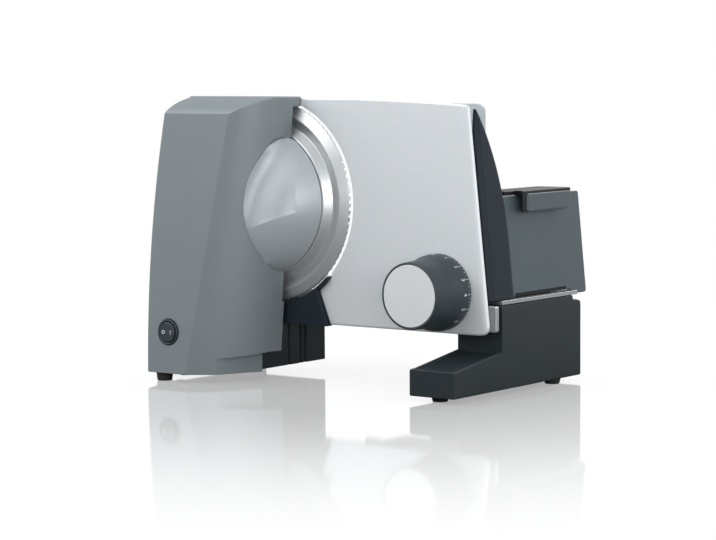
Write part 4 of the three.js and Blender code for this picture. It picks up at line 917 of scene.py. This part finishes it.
def leafShell():
    # At each height the leaf runs from its leading edge to a back edge that nears it by a power of the height; the
    # first few millimetres turn inwards by a quarter sine
    straight, tall = leafSet["straight"], leafSet["top"] - leafSet["straight"]
    z = np.concatenate([np.linspace(leafSet["low"], straight, 6)[:-1], straight + tall * np.linspace(0, 1, 48) ** 0.8])
    share = np.clip((z - straight) / tall, 0, 1)
    wide = leafSet["width"] * (1 - (1 - leafSet["tip"]) * share ** leafSet["curve"])[:, None]
    u = np.concatenate([np.linspace(0, 0.16, 8)[:-1], np.linspace(0.16, 1, 12)])[None]
    y = leafSet["front"] + u * wide
    near = np.clip(1 - (y - leafSet["front"]) / leafSet["turnWide"], 0, 1)
    turnIn = leafSet["turnIn"] * (1 - np.cos(near * math.pi / 2)) * np.clip(wide / leafSet["fullAt"], 0, 1)
    roundWide, roundDeep = leafSet["backRound"]
    edge = np.clip((1 - u) * wide / roundWide, 0, 1)
    outer = leafSet["outer"] - turnIn - roundDeep * (1 - np.sqrt(1 - (1 - edge) ** 2))
    inner = np.minimum(leafSet["inner"] - turnIn, outer - leafSet["least"])
    z = np.broadcast_to(z[:, None], y.shape)
    return loft(np.concatenate([onWall(y, z, outer), onWall(y, z, inner)[:, ::-1]], 1))


piece("thumbGuard", leafShell(), blueBlackAbsAndPaintedShade, "carriage", "thumb_guard", 34)
print("thumb guard drawn")

# Food holder: arm along the wall's top, a hooked handle bar over it, the tall pusher and its comb of spikes
holderSet = {"arm": (182.8, 206.0), "armFront": 40.0, "level": (7.4, 11.0), "bar": (54.4, 126.0), "outer": 215.0,
             "lip": (212.6, -6.0), "plate": 1.0, "faceRound": 1.8, "faceFront": 5.5, "faceTop": 8.6,
             "cornerCut": [(1, -7), (1, 3.0), (-0.4, 0.5), (-2.4, -3.2), (-6.5, -5.4), (-12, -7)],
             "pusher": (112.8, 182.5, -65.0, 80.5), "pusherSpan": (45.4, 48.9),
             "comb": 35.6, "combHalf": 34.0, "spikesX": (-20, 0, 20), "spikesZ": (-24, 0, 24),
             "spike": [(2.4, 7.7), (2.0, 6.8), (1.5, 4.4), (0.9, 2.0), (0.3, 0.4), (0.03, 0)]}  # radius, from the tip
armIn = holderSet["arm"][0]
levelLow, levelHigh = holderSet["level"]
barFront, barBack = holderSet["bar"]
lipIn, lipLow = holderSet["lip"]
lipOut = holderSet["outer"] - holderSet["plate"]
hookOutline = roundCorners([(armIn, levelLow), (lipIn, levelLow), (lipIn, lipLow), (lipOut, lipLow),
                            (lipOut, levelHigh), (armIn, levelHigh)], [0.5, 0.5, 0.5, 0.5, 1.2, 0.6], 5)
hookPiece = piece("holderHook", slab(hookOutline, barFront, barBack, 0.3, "y"), blackNylon, "holder",
                  "holder_hook")
carve(hookPiece, [prism(np.array(holderSet["cornerCut"]) + (barBack, 0), 209.0, 226.0, "x")])
faceOutline = roundCorners(rectangle(barFront + holderSet["faceFront"], barBack - 0.2, lipLow, holderSet["faceTop"]),
                           [2.6, 10.0, 2.6, 2.6], 9)
# The face's outline draws in by faceRound along a quarter ellipse from the lip to its outer plane
faceRings = [layer(faceOutline, holderSet["faceRound"] * (1 - math.cos(a)), "x",
                   lipOut + 0.02 + (holderSet["plate"] - 0.02) * math.sin(a)) for a in np.linspace(0, math.pi / 2, 7)]
faceRings.append(layer(faceOutline, holderSet["faceRound"] + 0.3, "x", holderSet["outer"]))
piece("holderFace", loft(np.array(faceRings)), slateAbs, "holder", None, 40)
arm = block(holderSet["arm"], (holderSet["armFront"], barFront - 0.05), holderSet["level"], 0.7, 1.5, "z")
piece("holderArm", arm, blackNylon, "holder")
pusherOutline = roundCorners(rectangle(*holderSet["pusher"]), [1.5, 1.5, 7.0, 7.0], 9)
piece("pusherPlate", slab(pusherOutline, *holderSet["pusherSpan"], 0.8, "y"), paleAbs, "holder",
      "pusher_plate")


def spikeComb():  # a thin bar and nine turned spikes, each drawn to a point along y
    left, right = holderSet["pusher"][:2]
    tip, half = holderSet["comb"], holderSet["combHalf"]
    bar = block((left + 7, right - 7), (tip + 7.5, tip + 9.5), (-half, half), 0.4, 2.0, "y")
    shape = np.array(holderSet["spike"]) + (0, tip)
    return together(bar, *[turned(shape, 14, (left + right) / 2 + x, z)
                           for x in holderSet["spikesX"] for z in holderSet["spikesZ"]])


piece("spikeComb", spikeComb(), zincSteel, "holder", "spike_comb", 40)
print("food holder drawn")

# Blade cover on the food side, a thin sheet with softly rounded edges; the cord's gland; the bracket behind the plate
coverSet = {"outline": [(-97, -86.3), (-2, -86.3), (12, -74.3), (12, 84.0), (33.2, 78.1), (33.2, 85.2), (12, 85.6),
                        (-84, 85.6), (-97, 69)], "radii": [2, 4, 4, 1.5, 0.6, 0.6, 3, 6, 6], "span": (0.8, 2.8)}
glandSet = {"x": -70.0, "z": -120.0, "profile": [(3.0, 67.0), (8.0, 67.0), (8.0, 68.3), (6.6, 69.9), (7.2, 71.1),
                                                 (6.4, 72.3), (6.8, 73.9), (3.0, 73.9)]}
bracketSet = {"x": (95.2, 221.4), "y": (4.4, 9.0), "z": (-97.9, -77.2)}
coverOutline = roundCorners(coverSet["outline"], coverSet["radii"], 6)
piece("bladeCover", slab(coverOutline, *coverSet["span"], 0.5, "y"), plateAluminium, "frame",
      "blade_cover_plate")
gland = turned(roundCorners(glandSet["profile"], 0.5, 4), 40, glandSet["x"], glandSet["z"], True)
piece("cordGland", gland, blackNylon, "frame", "cord_gland", 40)
bracketPiece = piece("plateBracket", block(*bracketSet.values(), 0.7, 2.0, "y"), castAluminium, "stop",
                     "plate_bracket")
carve(bracketPiece, [followerHole])
print("covers drawn")

# The rest of the solids keep their shapes and take these finishes
finishes = {
    acetal: ["worm_wheel", "cooling_fan", "carriage_glide_front", "carriage_glide_rear"],
    castAluminium: ["gear_frame", "guide_block", "rod_tie"],
    turnedSteel: ["worm_rotor", "blade_shaft", "knob_stud", "cam_follower", "guide_rod_1", "guide_rod_2"],
    bronze: ["shaft_bush", "guide_bush_1", "guide_bush_2"],
    zincSteel: ["motor_can", "blade_screw", "cover_screw_1", "cover_screw_2"],
    blackNylon: ["motor_end_cap", "blade_hub"],
    darkAbs: ["frame_cover", "base_cover", "foot_cover"],
}
for finish, names in finishes.items():
    for name in names:
        for slot in bpy.data.objects[name].material_slots:
            slot.material = finish
print("solids dressed:", sum(len(names) for names in finishes.values()))
